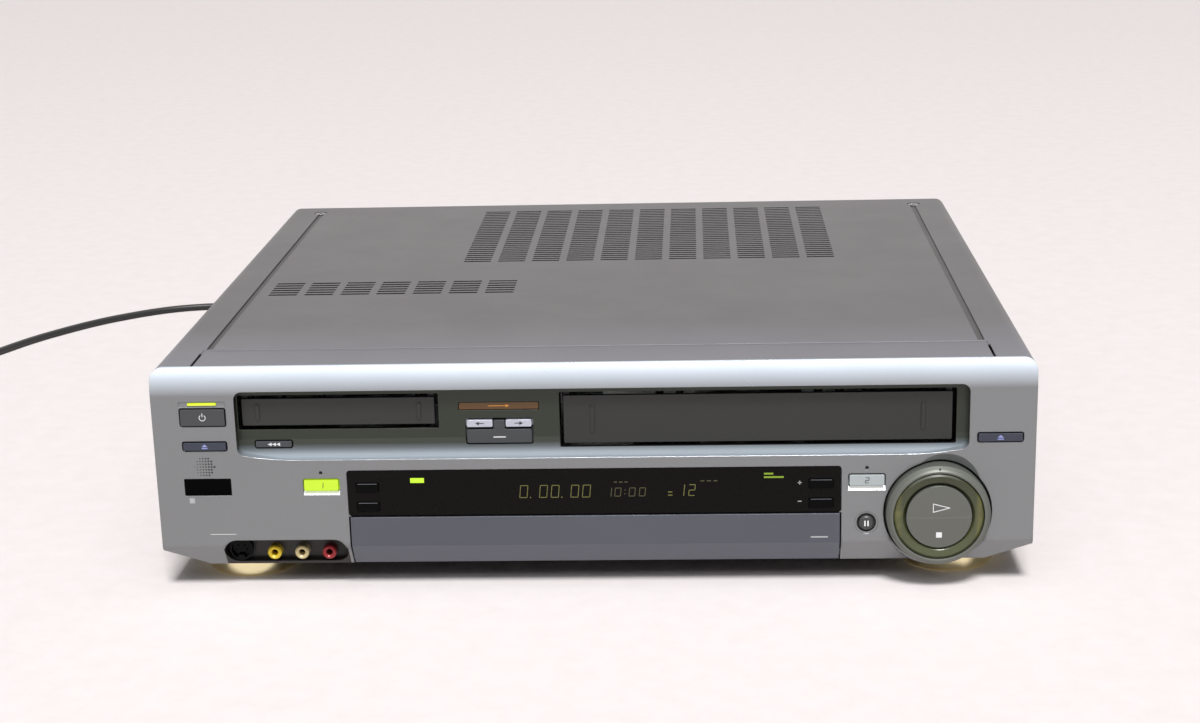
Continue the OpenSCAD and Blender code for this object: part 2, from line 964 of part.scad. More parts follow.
module arrow_key(s) {
  back = pocket_d + wall + slack;
  x = dub_x + s * (dub_w / 2 - dub_margin - arrow_w / 2);
  z = dub_z + dub_h / 2 - dub_margin - arrow_h / 2;
  outer = s * (dub_w / 2 + flange_w);
  inner = s * (dub_w / 2 - dub_margin - arrow_w);
  front(pocket_d - key_proud, back + flange_t)
    at(x, z)
      rounded(arrow_w, arrow_h, 0.6);
  block([dub_x + min(inner, outer), back, z - arrow_h / 2],
    [dub_x + max(inner, outer), back + flange_t, dub_z + dub_h / 2 + flange_w]);
  front(back, board_d - switch_t - key_travel - slack)
    at(x, z)
      circle(r = 1.2);
}

module dub_arrow_left() {
  color("#c3c5cc")
    arrow_key(-1);
}

module dub_arrow_right() {
  color("#c3c5cc")
    arrow_key(1);
}

module dub_button() {
  back = pocket_d + wall + slack;
  base_h = dub_h - 2 * dub_margin - arrow_h - 1.3;
  base_z = dub_z - dub_h / 2 + dub_margin + base_h / 2;
  stem_w = dub_w - 2 * dub_margin - 2 * arrow_w - 1.1;
  color("#55585a") {
    front(pocket_d - key_proud, back + flange_t)
      at(dub_x, base_z)
        rounded(dub_w - 2 * dub_margin, base_h, 0.8);
    front(pocket_d - key_proud, back + flange_t)
      at(dub_x, base_z + base_h / 2 + 2)
        square([stem_w, 5.4], center = true);
    block([dub_x - dub_w / 2 - flange_w, back, dub_z - dub_h / 2 - flange_w],
      [dub_x + dub_w / 2 + flange_w, back + flange_t, base_z + base_h / 2]);
    front(back, board_d - switch_t - key_travel - slack)
      at(dub_x, base_z)
        circle(r = 1.5);
  }
}

module pause_button() {
  back = wall + slack;
  color("#707476")
    turned(pause_x, pause_z)
      polygon([
        [0, -key_proud - 0.5],
        [pause_r - 1, -key_proud - 0.3],
        [pause_r - 0.3, -key_proud + 0.2],
        [pause_r, 0.4],
        [pause_r, back],
        [pause_r + 1.6, back],
        [pause_r + 1.6, back + flange_t],
        [1.5, back + flange_t],
        [1.5, board_d - switch_t - key_travel - slack],
        [0, board_d - switch_t - key_travel - slack],
      ]);
}

module flap_key(i) {
  back = rim_d + slack;
  x = panel_x + i * flap_key_pitch;
  front(recess_d - 0.8, back + flange_t)
    at(x, flap_key_z)
      rounded(flap_key_w - 2 * key_gap, flap_key_h - 2 * key_gap, 0.8);
  front(back, back + flange_t)
    at(x, flap_key_z)
      rounded(flap_key_w + 2, flap_key_h + 2, key_r);
  front(back, board_d - switch_t - key_travel - slack)
    at(x, flap_key_z)
      circle(r = 1.5);
}

module flap_key_left() {
  color("#4a4c50")
    flap_key(-1);
}

module flap_key_middle() {
  color("#4a4c50")
    flap_key(0);
}

module flap_key_right() {
  color("#4a4c50")
    flap_key(1);
}

module power_lamp() {
  color("#d6f03c") {
    front(-0.2, wall + slack + 1)
      at(left_x, lamp_z)
        square([lamp_w, lamp_h], center = true);
    front(wall + slack, wall + slack + 1)
      at(left_x, lamp_z + 0.6)
        square([lamp_w + 2, lamp_h + 1.2], center = true);
  }
}

module remote_window() {
  color("#0b0b0d") {
    front(0.3, wall + slack + 1)
      at(left_x, remote_z)
        rounded(remote_w - 2 * slack, remote_h - 2 * slack, key_r - slack);
    front(wall + slack, wall + slack + 1)
      at(left_x, remote_z)
        rounded(remote_w + 2, remote_h + 2, key_r);
  }
}

module amber_lens() {
  back = pocket_d + wall + slack;
  color("#8a5f1c") {
    front(pocket_d + 0.3, back + 1)
      at(dub_x, amber_z)
        rounded(amber_w - 2 * slack, amber_h - 2 * slack, 0.3);
    front(back, back + 1)
      at(dub_x, amber_z)
        rounded(amber_w + 2, amber_h + 2, 0.5);
  }
}

// ---- doors and flap ------------------------------------------------------------

// A door panel with its two arms, hinge pins and raised marks
module door(x, w, h, mark_h, mark_in) {
  panel_zc = door_top_z - h / 2;
  half = w / 2 - door_gap;
  front(door_d, door_d + door_t)
    at(x, panel_zc)
      rounded(2 * half, h - 2 * door_gap, 0.6);
  for (s = [-1, 1]) {
    front(door_d - 0.7, door_d + door_t)
      at(x + s * (half - mark_in), panel_zc)
        stadium_upright(2, mark_h);
    a = x + s * half + (s < 0 ? 0 : -3);
    across(a, a + 3)
      door_arm();
    rod(min(x + s * (half - 1), x + s * (w / 2 + slack + recess_wall)),
      max(x + s * (half - 1), x + s * (w / 2 + slack + recess_wall)), hinge_d, hinge_z, pin_r);
  }
}

module stadium_upright(w, h) {
  square([w, h - w], center = true);
  for (s = [-1, 1])
    translate([0, s * (h - w) / 2])
      circle(r = w / 2);
}

// Side view of the arm that joins a door to its hinge pin
module door_arm() {
  back = door_d + door_t;
  translate([hinge_d, hinge_z])
    circle(r = arm_r);
  polygon([
    [back - 0.5, door_top_z - door_gap - 3.5],
    [hinge_d - arm_r, door_top_z - door_gap - 1.5],
    [hinge_d - arm_r, hinge_z],
    [hinge_d + arm_r, hinge_z],
    [hinge_d + arm_r, door_top_z - 4],
    [back - 0.5, door_top_z - 9],
  ]);
}

module large_door() {
  color("#464946")
    door(large_x, large_open_w, large_open_h, 13.6, 14);
}

module small_door() {
  color("#464946")
    door(small_x, small_open_w, small_open_h, 8.2, 7.6);
}

module control_flap() {
  gap = slack;
  x0 = panel_x - panel_w / 2 + flap_side;
  x1 = panel_x + panel_w / 2 - flap_side;
  pin_out = flap_side + recess_wall - slack;
  low_z = foot_h + gap;
  low_y = chin_back * (1 - gap / chin_h);
  high_z = flap_top_z - flap_top;
  crease_z = foot_h + chin_h;
  across(x0, x1)
    color("#646973")
      union() {
        polygon([
          [low_y, low_z],
          [0, crease_z],
          [0, high_z],
          [flap_t, high_z],
          [flap_t, crease_z + 0.8],
          [low_y + flap_t + 0.5, low_z],
        ]);
        translate([flap_hinge_d, flap_hinge_z])
          circle(r = flap_barrel_r);
        // finger ledge behind the upper edge
        translate([flap_t - 0.1, high_z - 1.2])
          square([1.2, 1.2]);
      }
  color("#646973")
    rod(x0 - pin_out, x1 + pin_out, flap_hinge_d, flap_hinge_z, flap_pin_r);
}

// ---- jog dial ------------------------------------------------------------------

module shuttle_ring() {
  front_d = -dial_proud + 1;
  rim_in = light_r + 0.4;
  color("#a4a6a6")
    turned(dial_x, dial_z)
      union() {
        polygon([
          [rim_in, front_d],
          [rim_in + 0.8, front_d - 0.2],
          [shuttle_r - 1.4, front_d + 0.6],
          [shuttle_r, front_d + 2.4],
          [shuttle_r, well_d - slack],
          [rim_in, well_d - slack],
        ]);
        translate([post_r, 3])
          square([shuttle_r - post_r - 1, 2]);
        translate([post_r, 3])
          square([2.5, well_d - slack - 3]);
      }
}

module light_ring() {
  color("#4e5a1e")
    turned(dial_x, dial_z)
      union() {
        polygon([
          [cap_r + 0.7, -dial_proud + 2.2],
          [cap_r + 1.6, -dial_proud + 1.4],
          [light_r - 1.2, -dial_proud + 1],
          [light_r, -dial_proud + 1.8],
          [light_r, 3 - slack],
          [cap_r + 0.7, 3 - slack],
        ]);
        translate([post_r, 1])
          square([cap_r + 1.5 - post_r, 2 - slack]);
      }
}

module dial_hub() {
  color("#55585a")
    difference() {
      union() {
        turned(dial_x, dial_z)
          polygon([
            [0, rocker_d + 2],
            [post_r - bore_slack, rocker_d + 2],
            [post_r - bore_slack, well_d + 2 + slack],
            [post_r + 5, well_d + 2 + slack],
            [post_r + 5, well_d + 4 + slack],
            [8, well_d + 4 + slack],
            [8, board_d],
            [0, board_d],
          ]);
        // two ears that carry the rocking cap
        for (s = [-1, 1])
          block([dial_x + (s < 0 ? -ear_in - 2.4 : ear_in), rocker_d - 2.2, dial_z - 2.6],
            [dial_x + (s < 0 ? -ear_in : ear_in + 2.4), rocker_d + 3, dial_z + 2.6]);
      }
      rod(dial_x - ear_in - 3, dial_x + ear_in + 3, rocker_d, dial_z, 1.5 + bore_slack);
    }
}

module play_stop_cap() {
  dome_r = 160;
  color("#8f9191") {
    intersection() {
      front(-dial_proud, -dial_proud + 3)
        at(dial_x, dial_z)
          circle(r = cap_r, $fn = 96);
      translate([dial_x, face_y - dial_proud + dome_r, dial_z])
        sphere(r = dome_r, $fn = 256);
    }
    front(-dial_proud + 2, rocker_d)
      at(dial_x, dial_z)
        square([2 * ear_in - 2 * slack, 3.4], center = true);
    rod(dial_x - ear_in - 2.4, dial_x + ear_in + 2.4, rocker_d, dial_z, 1.5);
  }
}

// ---- front sockets ---------------------------------------------------------------

module jack_plate() {
  x0 = socket_x - socket_w / 2 - 3;
  x1 = panel_x - panel_w / 2 - recess_wall - slack;
  color("#151517")
    difference() {
      union() {
        front(plate_d, plate_d + plate_t)
          translate([x0, foot_h + wall + slack])
            square([x1 - x0, 14.4]);
        for (x = [-24, 24])
          front(plate_d, board_d)
            at(socket_x + x, socket_z + 6)
              circle(r = 2);
      }
      for (i = [0:2])
        front(plate_d - 1, plate_d + plate_t + 1)
          at(socket_x + (i - 0.5) * phono_pitch, phono_z)
            circle(r = phono_bore_r);
    }
}

module front_jacks() {
  color("gold")
    for (i = [0:2])
      turned(socket_x + (i - 0.5) * phono_pitch, phono_z)
        polygon([
          [phono_bore_r, 6.2],
          [phono_bore_r + 0.8, 5.6],
          [phono_r - 0.6, 5.6],
          [phono_r, 6.2],
          [phono_r, plate_d],
          [phono_bore_r, plate_d],
        ]);
}

module s_video_socket() {
  color("#1d1d1f")
    difference() {
      front(7.5, plate_d)
        at(round_x, round_z)
          circle(r = round_r);
      front(7, 9.6)
        at(round_x, round_z)
          difference() {
            circle(r = round_r - 1.2);
            translate([0, 0.6 - round_r + 1.2])
              square([3.2, 2.4], center = true);
          }
      for (p = [[-1.7, 1.4], [1.7, 1.4], [-2.6, -0.8], [2.6, -0.8]])
        front(9, plate_d + 1)
          at(round_x + p[0], round_z + p[1])
            circle(r = 0.45);
    }
}

// ---- boards and power supply -------------------------------------------------------

module switch_block(x, z) {
  front(board_d - switch_t, board_d)
    at(x, z)
      square([4, 4], center = true);
}

module front_board() {
  color("#2f5d3a")
    difference() {
      union() {
        front(board_d, board_d + board_t) {
          intersection() {
            case_outline(4);
            translate([-side_x + 9, foot_h + 3])
              square([body_w - 18, window_z + window_h - foot_h - 1]);
          }
          translate([-side_x + 9, foot_h + 10])
            square([29, case_h - 22]);
          translate([dub_x - 21, foot_h + 10])
            square([42, case_h - 26]);
          translate([rewind_x - 13, foot_h + 10])
            square([26, rewind_z - foot_h - 6]);
          translate([side_x - 31, foot_h + 10])
            square([22, case_h - 42]);
        }
        for (k = KEYS)
          switch_block(k[0], k[1]);
        for (z = [upper_key_z, lower_key_z]) {
          switch_block(menu_x, z);
          switch_block(channel_x, z);
        }
        for (i = [-1:1])
          switch_block(panel_x + i * flap_key_pitch, flap_key_z);
        switch_block(pause_x, pause_z);
      }
      front(board_d - 3, board_d + 3)
        at(dial_x, dial_z)
          circle(r = 2);
    }
}

module main_board() {
  color("#2f5d3a") {
    block([main_left, main_front, board_z], [main_right, boards_back, board_z + board_t]);
    // tuner can beside the aerial sockets
    block([main_right - 60, boards_back - 54, board_z + board_t],
      [main_right - 2, boards_back - 4, board_z + 24]);
    // large chips and their heat spreader
    for (i = [0:3])
      block([main_left + 34 + i * 50, main_front + 25, board_z + board_t],
        [main_left + 62 + i * 50, main_front + 53, board_z + 4]);
    for (i = [0:5])
      post(main_left + 20 + i * 18, main_front + 73, board_z, board_z + 16, 4);
    // plugs of the cables to the two decks
    for (x = [44, 164])
      block([main_left + x, main_front + 5, board_z], [main_left + x + 44, main_front + 11, board_z + 9]);
  }
}

module power_supply() {
  color("#b08a4a") {
    block([supply_left, supply_front, board_z], [supply_right, boards_back, board_z + board_t]);
    // transformer: winding and core
    block([supply_left + 5, boards_back - 72, board_z], [supply_left + 49, boards_back - 28, board_z + 36]);
    block([supply_left + 2, boards_back - 62, board_z], [supply_left + 52, boards_back - 38, board_z + 30]);
    // main capacitors
    for (y = [27, 57])
      post(supply_left + 16, supply_front + y, board_z, board_z + 38, 11);
    // heat sink with fins
    block([supply_right - 31, supply_front + 27, board_z],
      [supply_right - 28, supply_front + 117, board_z + 40]);
    for (i = [0:8])
      block([supply_right - 30, supply_front + 27 + i * 11, board_z + 4],
        [supply_right - 11, supply_front + 29 + i * 11, board_z + 40]);
  }
}

// ---- cassette decks ------------------------------------------------------------------

large_plate_z = foot_h + 33;
small_plate_z = foot_h + 50;
large_travel = 24;
small_travel = 17;
cradle_gap = 1;
guide_gap = 1;
guide_reach = 2;
pin_out = 3.2;
cradle_pin_r = 1.5;
spindle_r = 2;
capstan_r = 2.5;
small_capstan_r = 1.5;
large_back = cradle_y + large_tape_d + 2;
small_back = cradle_y + small_tape_d + 2;
large_bed_z = large_floor_z + cradle_gap;
small_bed_z = small_floor_z + cradle_gap;
large_drum_y = large_back + 6 + large_drum_r;
small_drum_y = small_back + 5 + small_drum_r;
large_capstan = [large_x + 66, large_back + 10];
small_capstan = [small_x + 38, small_back + 8];

// Half the inner width of a cradle for a cassette of width w
function cradle_half(w) = w / 2 + cradle_gap;

// A cassette's cradle: two channels joined over the top, with guide pins
module cradle(x, w, d, h, bed_z, ledge) {
  half = cradle_half(w);
  roof_z = bed_z + h + 0.6;
  back = cradle_y + d + 1;
  for (s = [-1, 1]) {
    block([x + (s < 0 ? -half - sheet : half), cradle_y, bed_z - sheet],
      [x + (s < 0 ? -half : half + sheet), back, roof_z + sheet]);
    block([x + (s < 0 ? -half - sheet : half - ledge), cradle_y, bed_z - sheet],
      [x + (s < 0 ? -half + ledge : half + sheet), back, bed_z]);
    block([x + (s < 0 ? -half - sheet : half - ledge), cradle_y, roof_z],
      [x + (s < 0 ? -half + ledge : half + sheet), back, roof_z + sheet]);
    for (y = [0.22, 0.8])
      rod(x + (s < 0 ? -half - pin_out : half), x + (s < 0 ? -half : half + pin_out),
        cradle_y + y * d, bed_z + 0.75 * h, cradle_pin_r);
  }
  block([x - half, cradle_y + 0.3 * d, roof_z], [x + half, cradle_y + 0.55 * d, roof_z + sheet]);
  block([x - half, back - sheet, bed_z - sheet], [x + half, back, bed_z + 0.4 * h]);
}

// The two upright plates that guide a cradle, each with its cranked slots
module guide_plates(x, w, d, h, bed_z, plate_z, travel) {
  half = cradle_half(w) + sheet + guide_gap;
  slot_r = cradle_pin_r + slack;
  for (s = [-1, 1])
    across(x + (s < 0 ? -half - sheet : half), x + (s < 0 ? -half : half + sheet))
      difference() {
        translate([cradle_y - 1, plate_z])
          square([d + 12, bed_z + h + 3 - plate_z]);
        for (y = [0.22, 0.8])
          translate([cradle_y + y * d, bed_z + 0.75 * h]) {
            circle(r = slot_r);
            translate([0, -travel - slack])
              circle(r = slot_r);
            translate([-slot_r, -travel - slack])
              square([2 * slot_r, travel + slack]);
            translate([-0.17 * d, -slot_r])
              square([0.17 * d, 2 * slot_r]);
            translate([-0.17 * d, 0])
              circle(r = slot_r);
          }
      }
}

// The lower drum and the shaft that the head drum turns on
module drum_base(x, y, z, r, h, shaft_h) {
  translate([x, face_y + y, z])
    rotate([-drum_lean, 0, 0]) {
      translate([0, 0, -1])
        cylinder(h = h + 1, r = r, $fn = 96);
      cylinder(h = shaft_h, r = 3);
    }
}

module drum_top(x, y, z, r, low, h) {
  translate([x, face_y + y, z])
    rotate([-drum_lean, 0, 0])
      rotate_extrude($fn = 96)
        polygon([
          [3 + bore_slack, low],
          [r, low],
          [r, low + h - 1.5],
          [r - 1.5, low + h],
          [r - 7, low + h],
          [r - 8, low + h - 5],
          [10, low + h - 5],
          [9, low + h + 1],
          [3 + bore_slack, low + h + 1],
        ]);
}

module deck_chassis(x, w, d, h, bed_z, plate_z, travel, depth) {
  half = cradle_half(w) + 2 * sheet + guide_gap;
  block([x - half, cradle_y - 1, plate_z - sheet], [x + half, cradle_y + depth, plate_z]);
  guide_plates(x, w, d, h, bed_z, plate_z - sheet, travel);
  for (sx = [-1, 1], y = [cradle_y + 8, cradle_y + depth - 8])
    post(x + sx * (half - 6), y, foot_h + sheet, plate_z, 3);
}

reel_gap = 46;
small_reel_gap = 23.6;
large_reel_y = cradle_y + 58;
small_reel_y = cradle_y + 30;
large_deck_depth = large_tape_d + 2 * large_drum_r + 24;
small_deck_depth = small_tape_d + 2 * small_drum_r + 18;

module large_deck_chassis() {
  color("#b4b6b8")
    difference() {
      union() {
        deck_chassis(large_x, large_tape_w, large_tape_d, large_tape_h, large_bed_z,
          large_plate_z, large_travel, large_deck_depth);
        drum_base(large_x, large_drum_y, large_plate_z, large_drum_r, 18, 40);
        for (s = [-1, 1])
          post(large_x + s * reel_gap, large_reel_y, large_plate_z - sheet, large_plate_z + 12, spindle_r);
        // bearing tube of the capstan
        post(large_capstan[0], large_capstan[1], large_plate_z - 6, large_plate_z + 6, 5);
        // tape guides beside the drum
        for (s = [-1, 1], p = [[50, 2], [39, 12]])
          post(large_x + s * p[0], large_back + p[1], large_plate_z - sheet, large_plate_z + 34, 2.4);
      }
      post(large_capstan[0], large_capstan[1], large_plate_z - 8, large_plate_z + 8, capstan_r + bore_slack);
    }
}

module small_deck_chassis() {
  color("#b4b6b8")
    difference() {
      union() {
        deck_chassis(small_x, small_tape_w, small_tape_d, small_tape_h, small_bed_z,
          small_plate_z, small_travel, small_deck_depth);
        drum_base(small_x, small_drum_y, small_plate_z, small_drum_r, 11, 27);
        for (s = [-1, 1])
          post(small_x + s * small_reel_gap, small_reel_y, small_plate_z - sheet, small_plate_z + 8,
            spindle_r);
        post(small_capstan[0], small_capstan[1], small_plate_z - 4, small_plate_z + 4, 3.5);
        for (s = [-1, 1])
          post(small_x + s * 28, small_back + 8, small_plate_z - sheet, small_plate_z + 22, 1.8);
      }
      post(small_capstan[0], small_capstan[1], small_plate_z - 6, small_plate_z + 6,
        small_capstan_r + bore_slack);
    }
}

module large_cradle() {
  color("#8f9498")
    cradle(large_x, large_tape_w, large_tape_d, large_tape_h, large_bed_z, 16);
}

module small_cradle() {
  color("#8f9498")
    cradle(small_x, small_tape_w, small_tape_d, small_tape_h, small_bed_z, 7);
}

module large_head_drum() {
  color("#c8cacc")
    drum_top(large_x, large_drum_y, large_plate_z, large_drum_r, 18.4, 18);
}

module small_head_drum() {
  color("#c8cacc")
    drum_top(small_x, small_drum_y, small_plate_z, small_drum_r, 11.4, 12);
}

module capstan(p, plate_z, r, wheel_r, shaft_up, wheel_z) {
  post(p[0], p[1], plate_z - wheel_z, plate_z + shaft_up, r);
  difference() {
    post(p[0], p[1], plate_z - wheel_z - 7, plate_z - wheel_z, wheel_r);
    translate([p[0], face_y + p[1], plate_z - wheel_z - 8])
      cylinder(h = 5, r = wheel_r - 4);
  }
}

module large_capstan_wheel() {
  color("#9c9ea0")
    capstan(large_capstan, large_plate_z, capstan_r, 24, 34, 6 + slack);
}

module small_capstan_wheel() {
  color("#9c9ea0")
    capstan(small_capstan, small_plate_z, small_capstan_r, 14, 22, 4 + slack);
}

// A reel's turntable with its three driving fins
module reel_table(x, y, z, r, hub_r, h) {
  translate([x, face_y + y, z + slack])
    difference() {
      union() {
        rotate_extrude()
          polygon([
            [0, 0],
            [r, 0],
            [r, 2],
            [hub_r + 2, 2.6],
            [hub_r, 3.4],
            [hub_r, h - 1.5],
            [hub_r - 1.5, h],
            [0, h],
          ]);
        for (i = [0:2])
          rotate([0, 0, 120 * i])
            translate([0, -0.7, 3])
              cube([hub_r + 1.6, 1.4, h - 5]);
      }
      translate([0, 0, -1])
        cylinder(h = h + 2, r = spindle_r + bore_slack);
    }
}

module large_supply_reel() {
  color("#dcdcd8")
    reel_table(large_x - reel_gap, large_reel_y, large_plate_z, 18, 8, 11);
}

module large_takeup_reel() {
  color("#dcdcd8")
    reel_table(large_x + reel_gap, large_reel_y, large_plate_z, 18, 8, 11);
}

module small_supply_reel() {
  color("#dcdcd8")
    reel_table(small_x - small_reel_gap, small_reel_y, small_plate_z, 12, 5, 7.5);
}

module small_takeup_reel() {
  color("#dcdcd8")
    reel_table(small_x + small_reel_gap, small_reel_y, small_plate_z, 12, 5, 7.5);
}

// ---- rear sockets ---------------------------------------------------------------------

// A collar with a blind hole, standing out of the rear to the part's full depth
module rear_socket(x, z, base_d, collar_r, hole_r) {
  turned(x, z)
    polygon([
      [hole_r, base_d + 1],
      [0, base_d + 1],
      [0, base_d - eps],
      [collar_r, base_d - eps],
      [collar_r, case_d + jack_proud - 0.5],
      [collar_r - 0.5, case_d + jack_proud],
      [hole_r, case_d + jack_proud],
    ]);
}

module rear_jacks() {
  base_d = panel_back + 1.4;
  color("#1b1b1d") {
    front(panel_back, base_d)
      at(jack_x, jack_z)
        rounded(112, 40, 2);
    for (i = [0:5], z = [-9, 9])
      rear_socket(jack_x - 44 + i * 17.6, jack_z + z, base_d, phono_r, phono_bore_r);
  }
}

module antenna_connectors() {
  color("#b9b39a")
    for (z = [foot_h + 32, foot_h + 58]) {
      front(panel_back, panel_back + 1.4)
        at(antenna_x, z)
          circle(r = 7, $fn = 6);
      rear_socket(antenna_x, z, panel_back + 1.4, 4.7, 1.2);
    }
}

// ---- mains cord -------------------------------------------------------------------------

// The cord's route on the table, from the strain relief to the coil. The first point is
// where the cord leaves the relief, and the last is where the coil begins.
relief_len = 30;
relief_end = panel_back + relief_len;
ROUTE = [
  [relief_x, face_y + relief_end, relief_z],
  [-170, 227.6, 35],
  [-170, 235, 33],
  [-171, 243, 28],
  [-173, 251, 21],
  [-175, 260, 13],
  [-178, 269, 7],
  [-182, 279, 3],
  [-187, 291, 2.5],
  [-193, 304, 2.5],
  [-201, 317, 2.5],
  [-211, 330, 2.5],
  [-223, 342, 2.5],
  [-237, 353, 2.5],
  [-252, 362, 2.5],
  [-268, 370, 2.5],
  [-285, 375, 2.5],
  [-302, 378, 2.5],
  [-319, 379, 2.5],
  [-336, 376, 2.5],
  [-352, 370, 2.5],
  [-367, 361, 2.5],
  [-381, 350, 2.5],
  [-394, 338, 2.5],
  [-406, 324, 2.5],
  [-417, 309, 2.5],
  [-427, 294, 2.5],
  [-436, 278, 2.5],
  [-444, 261, 2.5],
  [-452, 244, 2.5],
  [-459, 228, 2.5],
];
coil_gap = 0.6;
coil_pitch = cord_d + coil_gap;
coil_start = ROUTE[len(ROUTE) - 1];
coil_heading = atan2(ROUTE[len(ROUTE) - 1][1] - ROUTE[len(ROUTE) - 2][1],
  ROUTE[len(ROUTE) - 1][0] - ROUTE[len(ROUTE) - 2][0]);
coil_exit = 0.5;
climb_turns = 0.4;
coil_mid = coil_turns + climb_turns / 2;
coil_out_r = coil_in_r + coil_pitch * coil_mid;
coil_all = 2 * coil_turns + climb_turns + coil_exit;
loop_rings = 24;
exit_out = 12;
plug_up = 6;

function ramp(t) = let (u = max(0, min(1, t))) u * u * (3 - 2 * u);

// Distance of the cord from the coil's axis after u turns: in to the middle, and out again
function coil_r(u) =
  coil_in_r + coil_pitch * abs(u - coil_mid)
    + exit_out * ramp((u - coil_all + coil_exit) / coil_exit);

// Height of the cord's middle after u turns
function coil_z(u) =
  cord_d / 2 + coil_pitch * ramp((u - coil_turns) / climb_turns)
    - (cord_d / 2 + coil_pitch - plug_up) * pow(max(0, (u - coil_all + coil_exit) / coil_exit), 3);

// The coil turns clockwise seen from above, so its axis is to the right of the heading
coil_axis = [coil_start[0] + (coil_out_r + eps) * cos(coil_heading - 90) + cord_d * cos(coil_heading),
  coil_start[1] + (coil_out_r + eps) * sin(coil_heading - 90) + cord_d * sin(coil_heading)];

function coil_point(u) =
  let (a = coil_heading + 90 - 360 * u)
  [coil_axis[0] + coil_r(u) * cos(a), coil_axis[1] + coil_r(u) * sin(a), coil_z(u)];

coil_steps = ceil(coil_all * loop_rings);
coil_body = [for (i = [0:coil_steps]) coil_point(coil_all * i / coil_steps)];
coil_last = coil_body[coil_steps];
exit_way = coil_heading - 360 * coil_all;
coil_tail = coil_last + cord_d * [cos(exit_way), sin(exit_way), 0];
coil_path = concat([coil_start], coil_body, [coil_tail]);

// Sideways and upward directions square to the path at its point i
function path_way(path, i) =
  let (a = path[max(0, i - 1)], b = path[min(len(path) - 1, i + 1)])
  (b - a) / norm(b - a);
function sideways(t) = let (s = cross(t, [0, 0, 1])) s / norm(s);
function ring(p, t, r, n) =
  let (s = sideways(t), u = cross(s, t))
  [for (k = [0:n - 1]) p + r * (cos(360 * (k + 0.5) / n) * s + sin(360 * (k + 0.5) / n) * u)];

// One closed tube along a path, n sides round
module tube(path, r, n) {
  m = len(path);
  points = [for (i = [0:m - 1]) each ring(path[i], path_way(path, i), r, n)];
  sides = [
    for (i = [0:m - 2], k = [0:n - 1])
      let (a = i * n + k, b = i * n + (k + 1) % n)
      each [[a, a + n, b], [b, a + n, b + n]]
  ];
  ends = [
    for (k = [1:n - 2])
      each [[0, k, k + 1], [(m - 1) * n, (m - 1) * n + k + 1, (m - 1) * n + k]]
  ];
  polyhedron(points = points, faces = concat(sides, ends), convexity = 10);
}

// Least distance between the middles of two stretches of the coil that are not neighbours
apart = round(loop_rings / 2);
coil_least = min([for (i = [0:len(coil_path) - 1 - apart])
  min([for (j = [i + apart:len(coil_path) - 1]) norm(coil_path[i] - coil_path[j])])]);

function path_length(path) =
  [for (i = 0, s = 0; i < len(path);
    s = s + (i < len(path) - 1 ? norm(path[i + 1] - path[i]) : 0), i = i + 1) s];

echo(coil_least_gap = coil_least - cord_d);
echo(run_length = path_length(ROUTE)[len(ROUTE) - 1]);
echo(coil_length = path_length(coil_path)[len(coil_path) - 1]);

module cord_relief() {
  color("#101010")
    difference() {
      turned(relief_x, relief_z)
        polygon([
          [0, tray_back - 3],
          [relief_r + 3, tray_back - 3],
          [relief_r + 3, tray_back - slack],
          [relief_r + 0.9, tray_back - slack],
          [relief_r + 0.9, panel_back + slack],
          [relief_r + 2.4, panel_back + slack],
          [relief_r + 2.4, panel_back + 4],
          [relief_r, panel_back + 6],
          [cord_d / 2 + 0.6, relief_end],
          [0, relief_end],
        ]);
      for (i = [0:4])
        turned(relief_x, relief_z)
          translate([cord_d / 2 + 0.5, panel_back + 9 + 4 * i])
            square([4, 1.4]);
    }
}

module cord_run() {
  color("#101010")
    tube(ROUTE, cord_d / 2, 8);
}

module cord_coil() {
  color("#101010")
    tube(coil_path, cord_d / 2, 6);
}

plug_len = 24;
plug_w = 22;
plug_h = 2 * plug_up;

module plug() {
  translate(coil_tail)
    rotate([0, 0, exit_way]) {
      color("#101010")
        difference() {
          union() {
            translate([0, -3.5, -3.5])
              cube([9, 7, 7]);
            translate([8, -plug_w / 2 + 2, -plug_up])
              cube([plug_len - 8, plug_w - 4, plug_h]);
            translate([12, -plug_w / 2, -plug_up])
              cube([plug_len - 12, plug_w, plug_h]);
          }
          // finger grips on both sides
          for (s = [-1, 1])
            translate([17, s * (plug_w / 2 + 4), -plug_up - 1])
              cylinder(h = plug_h + 2, r = 5);
        }
      color("#c9b26a")
        for (s = [-1, 1])
          translate([plug_len - 1, s * 6.35 - 0.75, -3.2])
            cube([18, 1.5, 6.4]);
    }
}

// ---- nodes --------------------------------------------------------------------------------

top_cover();
cover_screws();
front_fascia();
chassis_tray();
rear_panel();
front_feet();
rear_feet();
display_window();
display_tube();
remote_window();
power_lamp();
amber_lens();
jack_plate();
front_jacks();
s_video_socket();
rear_jacks();
antenna_connectors();
front_board();
main_board();
power_supply();
large_door();
small_door();
control_flap();
power_button();
eject_button_left();
eject_button_right();
deck_button_left();
deck_button_right();
rewind_button();
dub_button();
dub_arrow_left();
dub_arrow_right();
pause_button();
menu_key_upper();
menu_key_lower();
channel_up_key();
channel_down_key();
flap_key_left();
flap_key_middle();
flap_key_right();
shuttle_ring();
light_ring();
dial_hub();
play_stop_cap();
large_deck_chassis();
large_cradle();
large_head_drum();
large_capstan_wheel();
large_supply_reel();
large_takeup_reel();
small_deck_chassis();
small_cradle();
small_head_drum();
small_capstan_wheel();
small_supply_reel();
small_takeup_reel();
cord_relief();
cord_run();
cord_coil();
plug();
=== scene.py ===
import math

import bpy
from mathutils import Matrix, Vector


